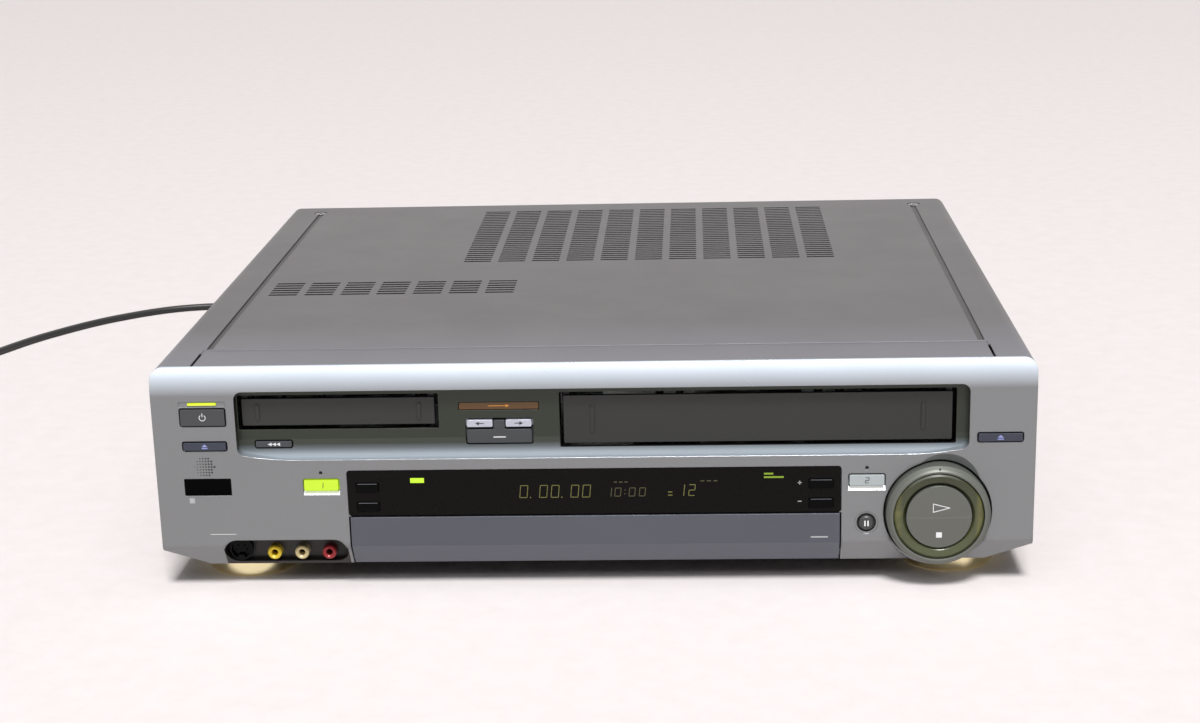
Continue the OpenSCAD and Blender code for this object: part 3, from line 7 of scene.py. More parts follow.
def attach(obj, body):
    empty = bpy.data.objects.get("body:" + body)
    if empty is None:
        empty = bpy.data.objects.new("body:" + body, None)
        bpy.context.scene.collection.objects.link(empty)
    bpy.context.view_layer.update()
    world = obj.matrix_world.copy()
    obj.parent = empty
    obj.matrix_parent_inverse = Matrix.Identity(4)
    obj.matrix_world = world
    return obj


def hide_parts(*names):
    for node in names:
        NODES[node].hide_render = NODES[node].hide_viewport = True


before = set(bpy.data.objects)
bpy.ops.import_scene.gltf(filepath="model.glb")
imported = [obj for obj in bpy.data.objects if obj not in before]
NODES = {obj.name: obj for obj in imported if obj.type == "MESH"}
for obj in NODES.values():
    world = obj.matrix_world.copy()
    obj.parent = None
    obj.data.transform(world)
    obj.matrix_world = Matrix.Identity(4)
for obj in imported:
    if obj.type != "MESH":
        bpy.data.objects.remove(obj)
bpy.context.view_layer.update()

MM = 0.001            # shapes and prints are in mm, the camera and the looks in metres
FACE = -191.0         # y of the front face
POCKET = 6.0          # depth of the pocket behind the face
POCKET_MID = 4.5      # x of its middle
POCKET_HALF = 178.5
POCKET_TOP = 104.1
POCKET_FLOOR = 68.8
DIAL = (168.4, 39.2)  # x and z of the dial's axis
DIAL_FRONT = FACE - 8.0
KEY_PROUD = 0.6       # how far the keys stand out
POWER_KEY = (-189.8, 91.5)
EJECT_KEYS = {"eject_button_left": (-189.8, 76.6), "eject_button_right": (197.9, 77.2)}
REWIND_KEY = (-156.8, 75.6)
PAUSE_KEY = (133.9, 33.9)
DUB_X = -44.95        # middle of the dubbing keys and the lens above them
LENS_Z = 93.95
DECK_KEYS = {"left": -133.4, "right": 133.95}
# the display window's keys: x, z and width of each
DISPLAY_KEYS = {
    "menu_key_upper": (-110.75, 54.3, 11.6), "menu_key_lower": (-110.75, 44.4, 11.6),
    "channel_up_key": (111.85, 54.3, 12.4), "channel_down_key": (111.85, 44.4, 12.4),
}
ROUND_SOCKET = (-177.55, 19.85)

CAMERA_AT = Vector((0.05192, -1.14565, 0.39050))
CAMERA_TURN = (-0.04860, 0.27816, -0.02560)  # yaw, pitch and roll in radians
CAMERA_LENS = 61.98   # focal length on a sensor 36 mm wide


# ---- camera -------------------------------------------------------------------------

def make_camera():
    yaw, pitch, roll = CAMERA_TURN
    fwd = Vector((math.sin(yaw) * math.cos(pitch), math.cos(yaw) * math.cos(pitch),
                  -math.sin(pitch)))
    right = Vector((math.cos(yaw), -math.sin(yaw), 0.0))
    up = right.cross(fwd)
    r = math.cos(roll) * right + math.sin(roll) * up
    u = -math.sin(roll) * right + math.cos(roll) * up
    data = bpy.data.cameras.new("camera")
    data.sensor_fit = "HORIZONTAL"
    data.sensor_width = 36.0
    data.lens = CAMERA_LENS
    data.clip_start = 0.02
    data.clip_end = 40.0
    camera = bpy.data.objects.new("camera", data)
    turn = Matrix((r, u, -fwd)).transposed().to_4x4()
    camera.matrix_world = Matrix.Translation(CAMERA_AT) @ turn
    bpy.context.scene.collection.objects.link(camera)
    bpy.context.scene.camera = camera


make_camera()


# ---- materials ----------------------------------------------------------------------

def linear(rgb):
    """The scene's linear colour of a screen colour given as 0 to 255."""
    return tuple(c / 255 / 12.92 if c <= 10 else ((c / 255 + 0.055) / 1.055) ** 2.4 for c in rgb)


class Mat:
    """A small builder for node materials in the object's own coordinates."""

    def __init__(self, name):
        self.mat = bpy.data.materials.new(name)
        self.mat.use_nodes = True
        self.tree = self.mat.node_tree
        self.tree.nodes.clear()
        self.out = self.add("ShaderNodeOutputMaterial")
        self.bsdf = self.add("ShaderNodeBsdfPrincipled")
        self.tree.links.new(self.bsdf.outputs["BSDF"], self.out.inputs["Surface"])
        self.coord = self.add("ShaderNodeTexCoord").outputs["Object"]

    def add(self, kind, **values):
        node = self.tree.nodes.new(kind)
        for key, value in values.items():
            setattr(node, key, value)
        return node

    def link(self, a, b):
        self.tree.links.new(a, b)

    def set(self, **values):
        for key, value in values.items():
            self.bsdf.inputs[key.replace("_", " ")].default_value = value

    def noise(self, scale, detail=3.0, rough=0.6, stretch=None):
        node = self.add("ShaderNodeTexNoise")
        node.inputs["Scale"].default_value = scale
        node.inputs["Detail"].default_value = detail
        node.inputs["Roughness"].default_value = rough
        source = self.coord
        if stretch:
            mapping = self.add("ShaderNodeMapping")
            mapping.inputs["Scale"].default_value = stretch
            self.link(self.coord, mapping.inputs["Vector"])
            source = mapping.outputs["Vector"]
        self.link(source, node.inputs["Vector"])
        return node.outputs["Fac"]

    def span(self, value, low, high, to_low=0.0, to_high=1.0):
        node = self.add("ShaderNodeMapRange")
        self.link(value, node.inputs["Value"])
        node.inputs["From Min"].default_value = low
        node.inputs["From Max"].default_value = high
        node.inputs["To Min"].default_value = to_low
        node.inputs["To Max"].default_value = to_high
        return node.outputs["Result"]

    def math(self, op, a, b=0.0):
        node = self.add("ShaderNodeMath", operation=op)
        for socket, value in zip(node.inputs, (a, b)):
            if isinstance(value, (int, float)):
                socket.default_value = value
            else:
                self.link(value, socket)
        return node.outputs[0]

    def mix(self, fac, a, b):
        node = self.add("ShaderNodeMix", data_type="RGBA")
        for name, value in (("Factor", fac), ("A", a), ("B", b)):
            socket = [s for s in node.inputs if s.name == name and s.enabled][0]
            if isinstance(value, tuple):
                socket.default_value = (*value[:3], 1.0)
            elif isinstance(value, (int, float)):
                socket.default_value = value
            else:
                self.link(value, socket)
        return [s for s in node.outputs if s.enabled][0]

    def xyz(self):
        node = self.add("ShaderNodeSeparateXYZ")
        self.link(self.coord, node.inputs[0])
        return node.outputs

    def off(self, value, middle):
        """The distance of value from middle."""
        return self.math("ABSOLUTE", self.math("SUBTRACT", value, middle))

    def edge(self, radius, soft=None):
        """1 on worn edges and 0 on open surfaces, and the softened normal.

        soft gives the radius by place.
        """
        bevel = self.add("ShaderNodeBevel", samples=4)
        bevel.inputs["Radius"].default_value = radius
        if soft is not None:
            self.link(soft, bevel.inputs["Radius"])
        geometry = self.add("ShaderNodeNewGeometry")
        dot = self.add("ShaderNodeVectorMath", operation="DOT_PRODUCT")
        self.link(bevel.outputs[0], dot.inputs[0])
        self.link(geometry.outputs["True Normal"], dot.inputs[1])
        return self.span(dot.outputs["Value"], 0.995, 0.8), bevel.outputs[0]

    def over(self, value, limit):
        return self.math("GREATER_THAN", value, limit)

    def under(self, value, limit):
        return self.math("LESS_THAN", value, limit)

    def near(self, value, middle, reach):
        return self.under(self.off(value, middle), reach)

    def all_of(self, *tests):
        """1 where every test is 1."""
        both = tests[0]
        for test in tests[1:]:
            both = self.math("MULTIPLY", both, test)
        return both

    def rough(self, low, high, scale):
        self.link(self.span(self.noise(scale), 0.2, 0.8, low, high), self.bsdf.inputs["Roughness"])

    def bump(self, height, distance, strength=1.0, normal=None):
        node = self.add("ShaderNodeBump")
        node.inputs["Distance"].default_value = distance
        node.inputs["Strength"].default_value = strength
        self.link(height, node.inputs["Height"])
        if normal is not None:
            self.link(normal, node.inputs["Normal"])
        self.link(node.outputs[0], self.bsdf.inputs["Normal"])

    def colour(self, socket):
        self.link(socket, self.bsdf.inputs["Base Color"])


def shade(rgb, k):
    return tuple(min(1.0, c * k) for c in rgb)


def plain(name, rgb, rough, metal=0.0, grain=1500.0, depth=0.00002, vary=0.08, blotch=9.0,
          edge=0.0004, wear=1.25, coat=0.0, stretch=None, low=None):
    """Moulded plastic, paint or metal with fine grain, faint blotches and softened, worn edges.

    What lies below the height low is a little paler, which is a painted reflection.
    """
    m = Mat(name)
    m.set(Metallic=metal, Coat_Weight=coat)
    mask, normal = m.edge(edge)
    blot = m.span(m.noise(blotch), 0.2, 0.8)
    body = m.mix(blot, shade(rgb, 1 - vary), shade(rgb, 1 + vary))
    if low is not None:
        body = m.mix(m.under(m.xyz()[2], low), body, shade(rgb, 1.3))
    m.colour(m.mix(m.math("MULTIPLY", mask, 0.6), body, shade(rgb, wear)))
    m.rough(rough * 0.88, min(1.0, rough * 1.12), 35.0)
    m.bump(m.noise(grain, 2.0, stretch=stretch), depth, 1.0, normal)
    return m.mat


def glow(name, rgb, strength):
    m = Mat(name)
    m.set(Emission_Strength=strength, Roughness=0.3)
    tone = m.mix(m.noise(180.0), shade(rgb, 0.92), rgb)
    m.colour(tone)
    m.link(tone, m.bsdf.inputs["Emission Color"])
    return m.mat


def ink_mat(name, rgb):
    m = Mat(name)
    m.colour(m.mix(m.noise(900.0), shade(rgb, 0.93), rgb))
    m.rough(0.45, 0.55, 300.0)
    return m.mat


def dress(material, *names):
    """Give the named CAD parts a material."""
    for name in names:
        data = NODES[name].data
        data.materials.clear()
        data.materials.append(material)


# ---- mesh helpers -------------------------------------------------------------------

def piece(name, verts, faces, material, body, smooth=False):
    """A mesh in mm that rides on a body, if one is given."""
    data = bpy.data.meshes.new(name)
    data.from_pydata([tuple(c * MM for c in v) for v in verts], [], faces)
    data.validate()
    if smooth:
        data.polygons.foreach_set("use_smooth", [True] * len(data.polygons))
    data.materials.append(material)
    obj = bpy.data.objects.new(name, data)
    bpy.context.scene.collection.objects.link(obj)
    if body:
        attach(obj, body)
    return obj


def rect(x, z, w, h):
    u, v = w / 2, h / 2
    return [(x - u, z - v), (x + u, z - v), (x + u, z + v), (x - u, z + v)]


def disc(x, z, r, n=16):
    turns = [2 * math.pi * i / n for i in range(n)]
    return [(x + r * math.cos(t), z + r * math.sin(t)) for t in turns]


def arc(x, z, r, w, a0, a1, n=24):
    """A curved stroke of width w from angle a0 to a1, in degrees, as quads."""
    out = []
    for i in range(n):
        a, b = (math.radians(a0 + (a1 - a0) * k / n) for k in (i, i + 1))
        out.append([(x + q * math.cos(t), z + q * math.sin(t))
                    for q, t in ((r - w / 2, a), (r + w / 2, a), (r + w / 2, b), (r - w / 2, b))])
    return out


def stroke(points, w):
    """A line of width w through the points, as quads."""
    out = []
    for (x0, z0), (x1, z1) in zip(points, points[1:]):
        n = math.hypot(x1 - x0, z1 - z0)
        ux, uz = (x1 - x0) / n * w / 2, (z1 - z0) / n * w / 2
        out.append([(x0 - ux + uz, z0 - uz - ux), (x1 + ux + uz, z1 + uz - ux),
                    (x1 + ux - uz, z1 + uz + ux), (x0 - ux - uz, z0 - uz + ux)])
    return out


def fine(points, step=1.0):
    """The points of a line with more between them, so that a print follows a curved surface."""
    out = [points[0]]
    for (x0, z0), (x1, z1) in zip(points, points[1:]):
        n = math.ceil(math.hypot(x1 - x0, z1 - z0) / step)
        out += [(x0 + (x1 - x0) * i / n, z0 + (z1 - z0) * i / n) for i in range(1, n + 1)]
    return out


INK_HALF = 0.05


def forward(shape):
    """The shape with its points in the order that makes it face forward."""
    ends = zip(shape, shape[1:] + shape[:1])
    area = sum(x0 * z1 - x1 * z0 for (x0, z0), (x1, z1) in ends)
    return shape if area > 0 else shape[::-1]


def ink(name, shapes, depth, material, body):
    """Thin print on a surface that faces forward, half sunk in it.

    depth is a number or a function of x and z.
    """
    at = depth if callable(depth) else (lambda x, z: depth)
    verts, faces = [], []
    for shape in map(forward, shapes):
        n, k = len(shape), len(verts)
        verts += [(x, at(x, z) - INK_HALF, z) for x, z in shape]
        verts += [(x, at(x, z) + INK_HALF, z) for x, z in shape]
        faces += [list(range(k, k + n)), list(range(k + n, k + 2 * n))[::-1]]
        faces += [[k + i, k + n + i, k + n + (i + 1) % n, k + (i + 1) % n] for i in range(n)]
    return piece(name, verts, faces, material, body)


SEGMENTS = {"0": "abcdef", "1": "bc", "2": "abged"}
DIGIT_LEAN = 0.1


def digit(char, x, z, w, h, t):
    """Seven-segment digit of stroke t with its lower left corner at x, z."""
    m = z + h / 2
    gap = t * 0.25
    bars = {
        "a": (x + gap, z + h, x + w - gap, z + h), "d": (x + gap, z, x + w - gap, z),
        "g": (x + gap, m, x + w - gap, m), "f": (x, m + gap, x, z + h - gap),
        "b": (x + w, m + gap, x + w, z + h - gap), "e": (x, z + gap, x, m - gap),
        "c": (x + w, z + gap, x + w, m - gap),
    }
    out = []
    for s in SEGMENTS[char]:
        x0, z0, x1, z1 = bars[s]
        quad = stroke([(x0, z0), (x1, z1)], t)[0]
        out.append([(px + (pz - z) * DIGIT_LEAN, pz) for px, pz in quad])
    return out


# ---- mains cord ---------------------------------------------------------------------

CORD_D = 5.0
# from the relief at the rear down to the table and round the case's left side
ROUTE = [
    (-170, 221, 36), (-170, 227.6, 35), (-170, 235, 33), (-171, 243, 28), (-173, 251, 21),
    (-175, 260, 13), (-178, 269, 7), (-182, 279, 3), (-187, 291, 2.5), (-193, 304, 2.5),
    (-201, 317, 2.5), (-211, 330, 2.5), (-223, 342, 2.5), (-237, 353, 2.5), (-252, 362, 2.5),
    (-268, 370, 2.5), (-285, 375, 2.5), (-302, 378, 2.5), (-319, 379, 2.5), (-336, 376, 2.5),
    (-352, 370, 2.5), (-367, 361, 2.5), (-381, 350, 2.5), (-394, 338, 2.5), (-406, 324, 2.5),
    (-417, 309, 2.5), (-427, 294, 2.5), (-436, 278, 2.5), (-444, 261, 2.5), (-452, 244, 2.5),
    (-459, 228, 2.5),
]
COIL_PITCH = CORD_D + 0.6
COIL_TURNS = 3.35  # turns in each of the two layers
COIL_IN = 20.5     # radius of the innermost turn
COIL_CLIMB = 0.4   # turns from the lower layer to the upper one
COIL_EXIT = 0.5    # turns from the coil down to the plug
COIL_ALL = 2 * COIL_TURNS + COIL_CLIMB + COIL_EXIT
COIL_MID = COIL_TURNS + COIL_CLIMB / 2
COIL_GAP = 0.01
PER_TURN = 24      # points in a turn
EXIT_OUT = 12.0    # how far the end swings out of the coil
PLUG_UP = 6.0      # height of the cord at the plug


def ramp(t):
    """Eases from 0 to 1 while t goes from 0 to 1."""
    u = max(0.0, min(1.0, t))
    return u * u * (3 - 2 * u)


def coil_points():
    """The coil's points: inward, up a layer, outward and on to the plug, and the end's heading."""
    (x0, y0, _), (x1, y1, _) = ROUTE[-2:]
    heading = math.atan2(y1 - y0, x1 - x0)
    out_r = COIL_IN + COIL_PITCH * COIL_MID + COIL_GAP
    cx = x1 + out_r * math.cos(heading - math.pi / 2) + CORD_D * math.cos(heading)
    cy = y1 + out_r * math.sin(heading - math.pi / 2) + CORD_D * math.sin(heading)
    steps = math.ceil(COIL_ALL * PER_TURN)
    out = []
    for i in range(steps + 1):
        u = COIL_ALL * i / steps
        late = (u - COIL_ALL + COIL_EXIT) / COIL_EXIT
        r = COIL_IN + COIL_PITCH * abs(u - COIL_MID) + EXIT_OUT * ramp(late)
        z = (CORD_D / 2 + COIL_PITCH * ramp((u - COIL_TURNS) / COIL_CLIMB)
             - (CORD_D / 2 + COIL_PITCH - PLUG_UP) * max(0.0, late) ** 3)
        a = heading + math.pi / 2 - 2 * math.pi * u
        out.append((cx + r * math.cos(a), cy + r * math.sin(a), z))
    way = heading - 2 * math.pi * COIL_ALL
    x, y, z = out[-1]
    out.append((x + CORD_D * math.cos(way), y + CORD_D * math.sin(way), z))
    return out, way


def smooth_route(points, cuts):
    """A smooth curve through the points, cut into equal parts between each two."""
    out = []
    ends = [points[0]] + list(points) + [points[-1]]
    for i in range(len(points) - 1):
        a, b, c, d = (Vector(p) for p in ends[i:i + 4])
        for k in range(cuts):
            t = k / cuts
            out.append(tuple(0.5 * (2 * b + (c - a) * t + (2 * a - 5 * b + 4 * c - d) * t * t
                                    + (3 * b - a - 3 * c + d) * t ** 3)))
    out.append(tuple(points[-1]))
    return out


LOBE_OFF, LOBE_W, LOBE_H = 1.0, 1.5, 2.2  # a core's middle and half sizes


def twin_profile(n):
    """Outline of a twin-core lead: two lobes side by side with a groove between them."""
    out = []
    for i in range(n):
        t = 2 * math.pi * (i + 0.5) / n
        far = 0.0
        for s in (-LOBE_OFF, LOBE_OFF):
            p = math.cos(t) ** 2 / LOBE_W ** 2 + math.sin(t) ** 2 / LOBE_H ** 2
            q = -2 * math.cos(t) * s / LOBE_W ** 2
            k = s * s / LOBE_W ** 2 - 1
            far = max(far, (-q + math.sqrt(q * q - 4 * p * k)) / (2 * p))
        out.append((far * math.cos(t), far * math.sin(t)))
    return out


def make_cord(material):
    coil, _ = coil_points()
    path = [Vector(p) for p in smooth_route(ROUTE, 3) + coil]
    outline = twin_profile(20)
    n = len(outline)
    verts, faces = [], []
    for i, p in enumerate(path):
        ahead = (path[min(i + 1, len(path) - 1)] - path[max(i - 1, 0)]).normalized()
        side = ahead.cross(Vector((0, 0, 1))).normalized()
        up = side.cross(ahead)
        verts += [tuple(p + side * u + up * v) for u, v in outline]
    for i in range(len(path) - 1):
        for k in range(n):
            a, b = i * n + k, i * n + (k + 1) % n
            faces.append((a, a + n, b + n, b))
    faces += [tuple(range(n)), tuple(range(len(verts) - n, len(verts)))[::-1]]
    cord = piece("mains_cord", verts, faces, material, "case", smooth=True)
    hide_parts("cord_run", "cord_coil")


RUBBER = plain("cord_rubber", linear((28, 28, 29)), 0.42, grain=2500.0, vary=0.12, wear=1.1)
dress(RUBBER, "cord_relief")
make_cord(RUBBER)


# ---- looks of the CAD parts, in metres ----------------------------------------------

PLATE_LOW = 0.1135     # above this height the cover's top plate lies
PLATE_HALF = 0.2
PLATE_FRONT = -0.15
GROOVE_X = 0.1925
GROOVE_FLOOR = 0.1152
CREASE = 0.0238        # height at which the front turns back into the chin
BAND_LOW, BAND_TOP = 0.1022, 0.1138
LIP = 0.0695           # edge of the pocket's scooped ledge
LEDGE_TOP, SCOOP_TOP = 0.0755, 0.078
RECESS_EDGE, RECESS_TOP = -0.1217, 0.0275  # the front sockets' recess
RED_FROM, CREAM_FROM = -0.1396, -0.1535    # x at which the phono collars change colour


def cover_paint():
    """Grey-brown paint with a painted sheen, lighter and bluer near the front, and painted shade on
    the floors of the grooves and the walls in the slots.
    """
    m = Mat("cover_paint")
    base = linear((97, 95, 97))
    m.set(Metallic=0.35)
    mask, normal = m.edge(0.0006)
    x, y, z = m.xyz()
    blot = m.span(m.noise(5.0, 4.0), 0.2, 0.8)
    body = m.mix(blot, shade(base, 0.96), shade(base, 1.04))
    speck = m.span(m.noise(2600.0, 1.0), 0.62, 0.72)
    body = m.mix(m.math("MULTIPLY", speck, 0.22), body, shade(base, 1.4))
    # painted sheen: lighter and bluer towards the front edge
    body = m.mix(m.span(y, -0.11, -0.187), body, linear((122, 122, 129)))
    # worn below the top plate alone
    wear = m.all_of(mask, m.under(z, PLATE_LOW))
    body = m.mix(m.math("MULTIPLY", wear, 0.5), body, shade(base, 1.35))
    # painted shade on the floors of the two long grooves
    groove = m.all_of(m.near(m.math("ABSOLUTE", x), GROOVE_X, 0.0018),
                      m.near(z, GROOVE_FLOOR, 0.0004))
    body = m.mix(groove, body, shade(base, 0.45))
    # painted shade on the upright walls of all that is cut into the top plate
    geometry = m.add("ShaderNodeNewGeometry")
    up = m.add("ShaderNodeSeparateXYZ")
    m.link(geometry.outputs["True Normal"], up.inputs[0])
    cut = m.all_of(m.under(m.math("ABSOLUTE", up.outputs[2]), 0.5), m.over(z, PLATE_LOW),
                   m.over(y, PLATE_FRONT), m.near(x, 0.0, PLATE_HALF))
    body = m.mix(cut, body, linear((26, 26, 30)))
    m.colour(body)
    m.rough(0.36, 0.46, 20.0)
    m.bump(m.noise(1800.0, 2.0), 0.00003, 0.8, normal)
    return m.mat


def fascia_paint():
    """Silver-grey paint with a painted highlight on the band, painted light and shade in the
    pocket, and black and dark behind its openings, partly painted shade.
    """
    m = Mat("fascia_paint")
    base = linear((133, 135, 137))
    x, y, z = m.xyz()
    # softer along the crease
    mask, normal = m.edge(0.0004, m.span(m.off(z, CREASE), 0.004, 0.0, 0.0004, 0.0035))
    blot = m.span(m.noise(6.0, 3.0), 0.2, 0.8)
    body = m.mix(blot, shade(base, 0.965), shade(base, 1.035))
    # painted highlight: the curved band along the top turns paler towards its top
    body = m.mix(m.span(z, BAND_LOW, BAND_TOP), body, linear((230, 242, 255)))
    fleck = m.span(m.noise(3200.0, 1.0), 0.6, 0.72)
    body = m.mix(m.math("MULTIPLY", fleck, 0.22), body, shade(base, 1.55))
    body = m.mix(m.math("MULTIPLY", mask, 0.3), body, shade(base, 1.15))
    # the pocket: a painted highlight makes its scooped ledge pale and painted shade darkens it
    # above
    wide = m.all_of(m.near(x, POCKET_MID * MM, (POCKET_HALF + 0.1) * MM),
                    m.under(z, (POCKET_TOP + 0.1) * MM))
    pocket = m.all_of(wide, m.over(y, (FACE + 0.3) * MM), m.over(z, POCKET_FLOOR * MM))
    painted_ledge_light = m.mix(m.span(z, LIP - 0.0003, LEDGE_TOP), linear((146, 156, 166)), linear((57, 61, 54)))
    body = m.mix(pocket, body, painted_ledge_light)
    # a painted highlight: the bright line along the ledge's lip
    lip = m.all_of(wide, m.near(z, LIP, 0.0011), mask)
    body = m.mix(m.math("MULTIPLY", lip, 0.9), body, linear((226, 232, 238)))
    scoop = m.all_of(pocket, m.under(z, SCOOP_TOP))
    m.link(m.span(scoop, 0.0, 1.0, 0.6, 0.1), m.bsdf.inputs["Metallic"])
    # black walls behind the two doors, partly their real black surround and partly painted shade,
    # and dark ones behind the window, the flap and the keys, which are painted shade
    inside = m.all_of(m.near(x, 0.0, 0.2125), m.near(z, 0.064, 0.0512))
    split = (POCKET_FLOOR + 0.1) * MM
    hole = m.all_of(inside, m.over(z, split), m.over(y, (FACE + POCKET + 0.15) * MM))
    body = m.mix(hole, body, linear((8, 8, 9)))
    well = m.all_of(inside, m.under(z, split), m.over(y, (FACE + 8.5) * MM))
    body = m.mix(well, body, linear((34, 32, 30)))
    # the dark recess of the front sockets
    recess = m.all_of(m.under(x, RECESS_EDGE), m.under(z, RECESS_TOP), m.over(y, (FACE + 0.8) * MM),
                      m.near(x, -0.1534, 0.0312))
    m.colour(m.mix(recess, body, linear((46, 44, 42))))
    satin = m.span(m.noise(24.0), 0.2, 0.8, 0.26, 0.33)
    m.link(m.math("ADD", satin, m.math("MULTIPLY", scoop, 0.35)), m.bsdf.inputs["Roughness"])
    m.bump(m.noise(2200.0, 2.0), 0.00002, 0.8, normal)
    return m.mat


def gloss(name, dark, light, shine):
    """Dark glossy plastic or glass. shine is the strength of its mirror image."""
    m = Mat(name)
    m.set(Specular_IOR_Level=shine)
    m.colour(m.mix(m.noise(400.0), linear(dark), linear(light)))
    m.rough(0.08, 0.13, 40.0)
    return m.mat


def socket_plating():
    """Three phono collars side by side: yellow, cream and red."""
    m = Mat("socket_plating")
    x = m.xyz()[0]
    tone = m.mix(m.over(x, CREAM_FROM), linear((222, 192, 44)), linear((206, 190, 142)))
    m.colour(m.mix(m.over(x, RED_FROM), tone, linear((150, 32, 38))))
    m.set(Metallic=0.15)
    m.rough(0.25, 0.35, 200.0)
    return m.mat


def olive_ring():
    """Olive plastic with painted shade, darker at the top and paler below, and painted highlights
    at both sides.
    """
    m = Mat("olive_ring")
    m.set(Coat_Weight=0.4, Coat_Roughness=0.15)
    x, _, z = m.xyz()
    # painted shade: darker towards the top and paler below
    low = m.span(z, (DIAL[1] + 20) * MM, (DIAL[1] - 16) * MM)
    tone = m.mix(low, linear((38, 44, 7)), linear((70, 76, 44)))
    # painted highlights at both sides, where the ring is lit
    side = m.math("MULTIPLY", m.span(m.off(x, DIAL[0] * MM), 0.0175, 0.019),
                  m.span(m.noise(190.0, 1.0), 0.3, 0.8))
    m.colour(m.mix(m.math("MULTIPLY", side, 0.6), tone, linear((122, 118, 54))))
    m.rough(0.25, 0.34, 90.0)
    return m.mat


PLUG_BODY = 0.02405  # length of the plug's moulded body, from the cord's end


def plug_mat():
    """Black moulded plug whose two blades are brass."""
    m = Mat("plug_black")
    points, way = coil_points()
    tail = Vector(points[-1]) * MM
    sub = m.add("ShaderNodeVectorMath", operation="SUBTRACT")
    m.link(m.coord, sub.inputs[0])
    sub.inputs[1].default_value = tail
    dot = m.add("ShaderNodeVectorMath", operation="DOT_PRODUCT")
    m.link(sub.outputs[0], dot.inputs[0])
    dot.inputs[1].default_value = (math.cos(way), math.sin(way), 0.0)
    blade = m.over(dot.outputs["Value"], PLUG_BODY)
    m.colour(m.mix(blade, linear((26, 26, 27)), linear((200, 168, 96))))
    m.link(blade, m.bsdf.inputs["Metallic"])
    _, normal = m.edge(0.001)
    m.rough(0.35, 0.45, 120.0)
    m.bump(m.noise(1500.0), 0.00003, 0.7, normal)
    return m.mat


BLACK = plain("black_plastic", linear((24, 24, 26)), 0.4)
STEEL = plain("zinc_steel", linear((176, 178, 180)), 0.35, 1.0, grain=700.0, depth=0.00001,
              vary=0.06, stretch=(1.0, 0.02, 1.0))

dress(cover_paint(), "top_cover")
dress(fascia_paint(), "front_fascia")
dress(plain("screw_dark", linear((150, 150, 154)), 0.3, 0.9, edge=0.0002, wear=1.3),
      "cover_screws")
dress(plain("tray_steel", linear((62, 63, 64)), 0.7, 0.1, grain=300.0), "chassis_tray")
dress(STEEL, "rear_panel", "large_deck_chassis", "small_deck_chassis",
      "large_cradle", "small_cradle", "large_capstan_wheel", "small_capstan_wheel")
dress(plain("foot_gold", linear((252, 236, 190)), 0.15, 1.0, grain=900.0, wear=1.05),
      "front_feet")
dress(plain("foot_rubber", linear((34, 34, 34)), 0.75, grain=700.0), "rear_feet")
dress(gloss("window_gloss", (8, 7, 6), (12, 10, 9), 0.1), "display_window")
dress(gloss("remote_gloss", (2, 2, 3), (4, 4, 5), 0.03), "remote_window")
dress(plain("tube_glass", linear((30, 34, 28)), 0.15), "display_tube")
dress(glow("lamp_lit", linear((206, 226, 50)), 0.5), "power_lamp")
dress(plain("amber", linear((92, 60, 16)), 0.3, coat=0.2, grain=500.0, vary=0.15, wear=1.1),
      "amber_lens")
dress(BLACK, "rear_jacks")
dress(plain("plate_brown", linear((40, 38, 36)), 0.5), "jack_plate")
dress(gloss("socket_black", (6, 6, 7), (10, 10, 11), 0.1), "s_video_socket")
dress(socket_plating(), "front_jacks")
dress(plain("plated_socket", linear((190, 186, 170)), 0.3, 1.0), "antenna_connectors")
dress(plain("circuit_green", linear((38, 92, 58)), 0.35, grain=260.0, vary=0.2),
      "front_board", "main_board")
dress(plain("supply_board", linear((150, 118, 72)), 0.5, grain=300.0, vary=0.2), "power_supply")
dress(plain("door_grey", linear((40, 41, 40)), 0.42, 0.1, wear=0.6), "large_door", "small_door")
# the flap is paler below its crease as a painted reflection of the floor
dress(plain("flap_blue_grey", linear((85, 88, 97)), 0.34, 0.4, vary=0.05, wear=1.6, low=CREASE),
      "control_flap")
dress(plain("key_charcoal", linear((66, 68, 70)), 0.4, 0.2, wear=1.6), "power_button")
dress(plain("key_slate", linear((56, 60, 73)), 0.35, 0.25), *EJECT_KEYS)
dress(glow("key_lit", linear((182, 216, 42)), 0.32), "deck_button_left")
dress(plain("key_pale", linear((170, 178, 180)), 0.35, wear=1.4), "deck_button_right")
dress(plain("key_dark_grey", linear((60, 63, 66)), 0.35, wear=1.8),
      "rewind_button", "dub_button")
dress(plain("key_silver", linear((190, 194, 206)), 0.3, 0.4, wear=1.3),
      "dub_arrow_left", "dub_arrow_right")
dress(plain("pause_grey", linear((64, 66, 66)), 0.35, 0.2), "pause_button")
dress(gloss("display_key_black", (4, 4, 5), (8, 8, 9), 0.06), *DISPLAY_KEYS)
dress(plain("flap_key_grey", linear((80, 82, 86)), 0.4),
      "flap_key_left", "flap_key_middle", "flap_key_right")
dress(plain("ring_silver", linear((106, 109, 103)), 0.45, 0.35, grain=900.0, depth=0.00001,
            vary=0.04), "shuttle_ring")
dress(olive_ring(), "light_ring")
dress(BLACK, "dial_hub")
dress(plain("cap_grey", linear((101, 103, 98)), 0.32, 0.35, vary=0.04, wear=1.5),
      "play_stop_cap")
dress(plain("drum_metal", linear((205, 206, 208)), 0.18, 1.0, grain=400.0, depth=0.000005),
      "large_head_drum", "small_head_drum")
dress(plain("reel_pale", linear((214, 214, 206)), 0.45),
      "large_supply_reel", "large_takeup_reel", "small_supply_reel", "small_takeup_reel")
dress(plug_mat(), "plug")


# ---- prints and small fittings, in mm -----------------------------------------------

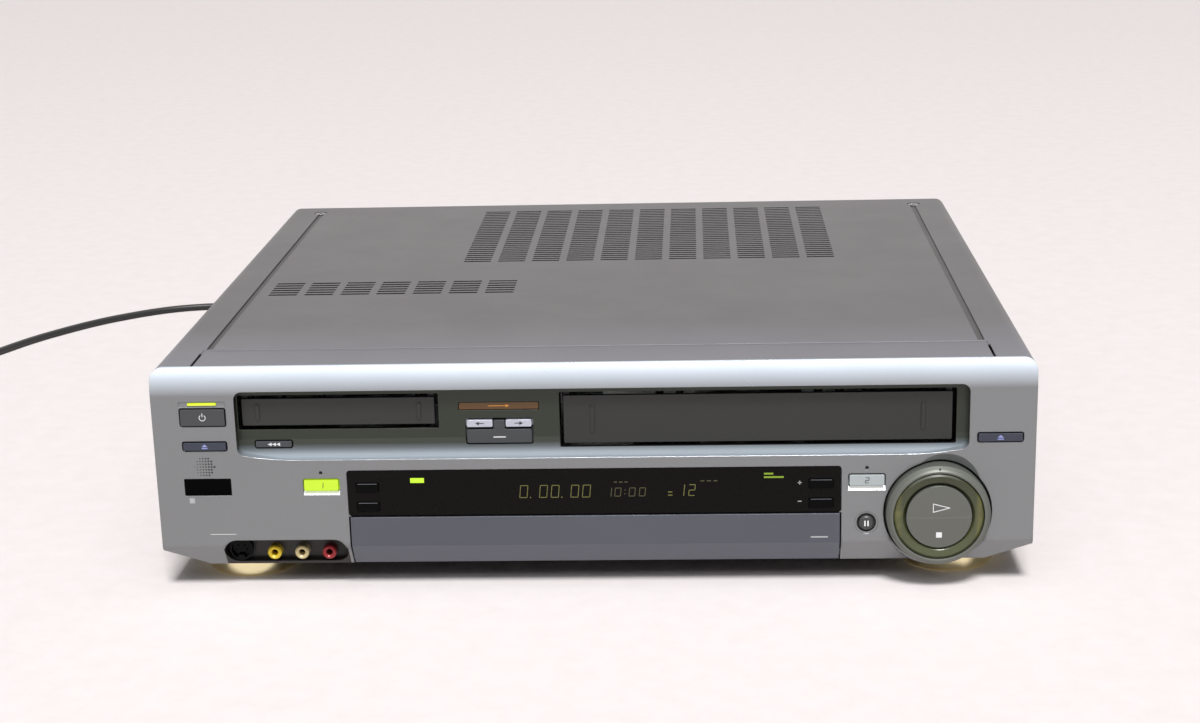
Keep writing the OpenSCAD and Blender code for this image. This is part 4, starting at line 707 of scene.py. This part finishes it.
WHITE = ink_mat("ink_white", linear((235, 236, 238)))
GREY_INK = ink_mat("ink_grey", linear((176, 178, 182)))
LILAC = ink_mat("ink_lilac", linear((150, 156, 214)))
DARK_INK = ink_mat("ink_dark", linear((34, 35, 38)))
BLACK_INK = ink_mat("ink_black", linear((9, 9, 10)))
# painted highlight along the top edges of the display keys
KEY_PAINTED_HIGHLIGHT = ink_mat("key_painted_highlight", linear((104, 108, 116)))
SPLIT_INK = ink_mat("ink_split", linear((126, 127, 124)))
OLIVE_INK = glow("digit_olive", linear((102, 100, 48)), 0.18)
OLIVE_DIM = glow("digit_dim", linear((70, 67, 38)), 0.14)
GREEN_INK = glow("sign_green", linear((170, 210, 40)), 0.6)
GREEN_DIM = glow("sign_green_dim", linear((118, 146, 30)), 0.3)
# the white ledges under the deck keys glow as a painted highlight
LEDGE_PAINTED_HIGHLIGHT = glow("ledge_white_painted_highlight", linear((240, 242, 240)), 0.3)
AMBER_INK = glow("amber_mark", linear((206, 140, 50)), 0.25)

CAP_DOME = 320.0       # twice the radius of the cap's dome
GLASS = FACE + 0.4     # front of the display window
DIGITS_Z = 48.4        # foot of its digits
LEDGE_LOW, LEDGE_HIGH = 51.2, 52.5


def cap_depth(x, z):
    return DIAL_FRONT + ((x - DIAL[0]) ** 2 + (z - DIAL[1]) ** 2) / CAP_DOME


def ledge_depth(x, z):
    """The slope of the pale ledges under the two deck keys."""
    return FACE + 0.44 + (z - LEDGE_LOW) * 0.97 / (LEDGE_HIGH - LEDGE_LOW)


def key_front(recess=0.0):
    return FACE + recess - KEY_PROUD


def own_ink(name, shapes, depth, material, body):
    """A print on a moving piece, which rides on that piece's body."""
    ink(name, shapes, depth, material, body)


def dial_prints():
    x, z = DIAL
    play = [(x - 3.0, z + 6.9), (x + 4.9, z + 4.8), (x - 3.0, z + 2.7), (x - 3.0, z + 6.9)]
    own_ink("play_mark", stroke(fine(play), 0.35), cap_depth, WHITE, "play_stop_cap")
    own_ink("stop_mark", [rect(x, z - 9.1, 2.8, 2.8)], cap_depth, WHITE, "play_stop_cap")
    # the line across the cap's middle, on which it rocks
    line = [(x - 14.8 + 29.6 * i / 10, z - 0.2) for i in range(11)]
    own_ink("cap_split", stroke(line, 0.16), cap_depth, SPLIT_INK, "play_stop_cap")
    own_ink("ring_notch", [rect(x, z + 24.0, 0.7, 1.2)], DIAL_FRONT + 1.3, DARK_INK,
            "shuttle_ring")


def key_prints():
    # power: a ring with a bar
    x, z = POWER_KEY
    mark = arc(x, z, 1.5, 0.32, 125, 415) + [rect(x, z + 1.4, 0.32, 1.9)]
    own_ink("power_mark", mark, key_front(), WHITE, "power_button")
    # eject: a triangle over a bar
    for body, (x, z) in EJECT_KEYS.items():
        mark = [[(x - 1.5, z - 0.1), (x + 1.5, z - 0.1), (x, z + 1.3)],
                rect(x, z - 0.85, 3.0, 0.5)]
        own_ink(body + "_mark", mark, key_front(), LILAC, body)
    # rewind: three triangles
    x, z = REWIND_KEY
    mark = [[(x - 3 + 2.1 * i, z), (x - 1 + 2.1 * i, z - 0.9), (x - 1 + 2.1 * i, z + 0.9)]
            for i in range(3)]
    own_ink("rewind_mark", mark, key_front(POCKET), WHITE, "rewind_button")
    # dubbing: one arrow each way, and a short bar on the wide key
    for body, s in (("dub_arrow_left", -1), ("dub_arrow_right", 1)):
        x, z = DUB_X + s * 9.55, 85.2
        mark = [[(x + s * 2.2, z), (x + s * 0.4, z + 0.95), (x + s * 0.4, z - 0.95)],
                rect(x - s * 0.8, z, 2.4, 0.4)]
        own_ink(body + "_mark", mark, key_front(POCKET), DARK_INK, body)
    own_ink("dub_mark", [rect(DUB_X, 78.2, 6.0, 0.5)], key_front(POCKET), WHITE, "dub_button")
    # pause: two bars
    x, z = PAUSE_KEY
    mark = [rect(x + s * 0.75, z, 0.7, 2.8) for s in (-1, 1)]
    own_ink("pause_mark", mark, FACE - 1.05, WHITE, "pause_button")
    # the two deck keys carry plain numbers
    for (side, x), number in zip(DECK_KEYS.items(), "12"):
        body = "deck_button_" + side
        own_ink(body + "_number", digit(number, x - 0.8, 54.7, 1.6, 2.6, 0.32), key_front(),
                DARK_INK, body)


def glass_ink(name, shapes, material):
    """A print or lit sign at the front of the display window."""
    ink(name, shapes, GLASS, material, "case")


def display_prints():
    z = DIGITS_Z
    shapes = [disc(x, z, 0.35, 8) for x in (-30.4, -15.0)]
    for x in (-35.7, -26.0, -20.3, -10.6, -4.9):
        shapes += digit("0", x, z, 3.6, 6.2, 0.36)
    for char, x in zip("12", (42.0, 47.2)):
        shapes += digit(char, x, z + 0.3, 2.8, 5.6, 0.4)
    shapes += [rect(38.2, z + up, 2.2, 0.5) for up in (0.6, 2.2)]
    glass_ink("counter_digits", shapes, OLIVE_INK)
    # the clock, with two rows of short dashes above
    shapes = [disc(16.0, z + 1.5, 0.3, 8), disc(16.2, z + 3.5, 0.3, 8)]
    for char, x in zip("1000", (6.4, 11.0, 18.0, 23.0)):
        shapes += digit(char, x, z + 0.3, 2.8, 4.2, 0.4)
    shapes += [rect(11.5 + 2.6 * i, z + 7.6, 1.6, 0.5) for i in range(3)]
    shapes += [rect(54.0 + 3.2 * i, z + 7.8, 2.0, 0.5) for i in range(3)]
    glass_ink("clock_digits", shapes, OLIVE_DIM)
    # lit signs: a block at the left and two bars at the right
    glass_ink("lit_sign", [rect(-86.0, z + 9.4, 6.8, 2.5)], GREEN_INK)
    glass_ink("dim_signs", [rect(86.3, z + 11.2, 4.5, 0.9), rect(88.8, z + 9.4, 9.6, 0.9)],
              GREEN_DIM)
    # plus and minus beside the channel keys
    plus = [rect(101.4, 54.8, 1.9, 0.42), rect(101.4, 54.8, 0.42, 1.9)]
    glass_ink("channel_marks", plus + [rect(101.4, 45.2, 1.9, 0.42)], GREY_INK)
    # a painted highlight: a thin light line along each display key's top edge
    for name, (x, key_z, w) in DISPLAY_KEYS.items():
        own_ink(name + "_line", [rect(x, key_z + 2.0, w - 2.2, 0.25)], GLASS - KEY_PROUD,
                KEY_PAINTED_HIGHLIGHT, name)


def remote_dots():
    """A round field of dots over the remote window, denser on the right."""
    dots = []
    for row in range(-3, 4):
        half = math.sqrt(max(0.0, 1 - (row / 3.6) ** 2))
        for col in range(8):
            u = (col - 3.5) / 3.5
            if abs(u) <= half:
                dots.append(disc(-190.7 + u * 4.9, 66.0 + row * 1.45, 0.22 + 0.05 * col, 10))
    return dots


def face_ink(name, shapes, depth, material):
    ink(name, shapes, depth, material, "case")


def fascia_prints():
    face_ink("dot_print", remote_dots(), FACE, DARK_INK)
    face_ink("square_print", [rect(-198.2, 48.4, 2.6, 2.6)], FACE, GREY_INK)
    face_ink("input_line", [rect(-184.0, 30.6, 13.0, 0.22)], FACE, WHITE)
    middle, height = (LEDGE_LOW + LEDGE_HIGH) / 2, LEDGE_HIGH - LEDGE_LOW
    for side, x in DECK_KEYS.items():
        # a white ledge with a painted highlight glow
        face_ink("key_ledge_" + side, [rect(x, middle, 16.6, height)], ledge_depth, LEDGE_PAINTED_HIGHLIGHT)
        face_ink("pinhole_" + side, [disc(x, 62.3, 0.8)], FACE + 1.5, BLACK_INK)


def other_prints():
    own_ink("flap_mark", [rect(111.0, 26.7, 8.3, 0.7)], FACE, GREY_INK, "control_flap")
    ring = arc(*ROUND_SOCKET, 6.55, 1.0, 0, 360)
    ink("round_socket_ring", ring, FACE + 11, BLACK_INK, "case")
    x, z = DUB_X, LENS_Z
    arrow = stroke([(x - 5, z), (x + 3.6, z)], 0.3)
    arrow += [[(x + 3.4, z - 0.8), (x + 5.2, z), (x + 3.4, z + 0.8)]]
    ink("amber_arrow", arrow, FACE + POCKET + 0.3, AMBER_INK, "case")


dial_prints()
key_prints()
display_prints()
fascia_prints()
other_prints()


# ---- floor and light ----------------------------------------------------------------

FLOOR_REACH = 9000.0
BACKDROP = (0.86, 0.83, 0.82, 1.0)
WORLD_SEEN, WORLD_LIGHT = 1.0, 0.07


def make_floor():
    m = Mat("floor_paper")
    m.set(Specular_IOR_Level=0.0)
    m.colour(m.mix(m.span(m.noise(70.0, 4.0), 0.2, 0.8), linear((234, 228, 227)),
                   linear((241, 235, 235))))
    m.rough(0.85, 0.95, 8.0)
    m.bump(m.noise(150.0, 4.0), 0.0004, 0.4)
    corners = [(x, z, 0) for x, z in rect(0, 0, 2 * FLOOR_REACH, 2 * FLOOR_REACH)]
    floor = piece("floor", corners, [(0, 1, 2, 3)], m.mat, None)


def lamp(name, kind, power, colour, way, at=(0.0, 0.0, 0.0)):
    """A lamp at the place at that shines along way."""
    data = bpy.data.lights.new(name, kind)
    data.energy = power
    data.color = colour
    obj = bpy.data.objects.new(name, data)
    turn = way.normalized().to_track_quat("-Z", "Y").to_matrix().to_4x4()
    obj.matrix_world = Matrix.Translation(at) @ turn
    bpy.context.scene.collection.objects.link(obj)
    return data


def area_lamp(name, at, look, size, power, colour):
    data = lamp(name, "AREA", power, colour, Vector(look) - Vector(at), at)
    data.shape = "RECTANGLE"
    data.size, data.size_y = size


def make_world():
    """Pale where it is seen, directly or in gloss, and dim as a light."""
    world = bpy.data.worlds.new("world")
    world.use_nodes = True
    tree = world.node_tree
    backdrop = tree.nodes["Background"]
    backdrop.inputs["Color"].default_value = BACKDROP
    path = tree.nodes.new("ShaderNodeLightPath")
    seen = path.outputs["Is Camera Ray"]
    for name in ("Is Glossy Ray", "Is Transmission Ray"):
        either = tree.nodes.new("ShaderNodeMath")
        either.operation = "MAXIMUM"
        tree.links.new(seen, either.inputs[0])
        tree.links.new(path.outputs[name], either.inputs[1])
        seen = either.outputs[0]
    level = tree.nodes.new("ShaderNodeMapRange")
    tree.links.new(seen, level.inputs["Value"])
    level.inputs["To Min"].default_value = WORLD_LIGHT
    level.inputs["To Max"].default_value = WORLD_SEEN
    tree.links.new(level.outputs["Result"], backdrop.inputs["Strength"])
    bpy.context.scene.world = world


def make_lamps():
    sun = lamp("key", "SUN", 2.98, (1.0, 0.99, 0.985), Vector((-0.05, 0.6, -1.0)))
    sun.angle = math.radians(14.0)
    area_lamp("front", (0.0, -1.9, 1.75), (0, 0, 0.1), (3.6, 0.8), 15.0, (0.97, 0.985, 1.0))
    area_lamp("top", (0.1, -0.5, 2.6), (0, -0.1, 0.0), (2.6, 2.0), 12.5, (1.0, 0.985, 0.98))


make_floor()
make_world()
make_lamps()
bpy.context.scene.view_settings.view_transform = "Standard"
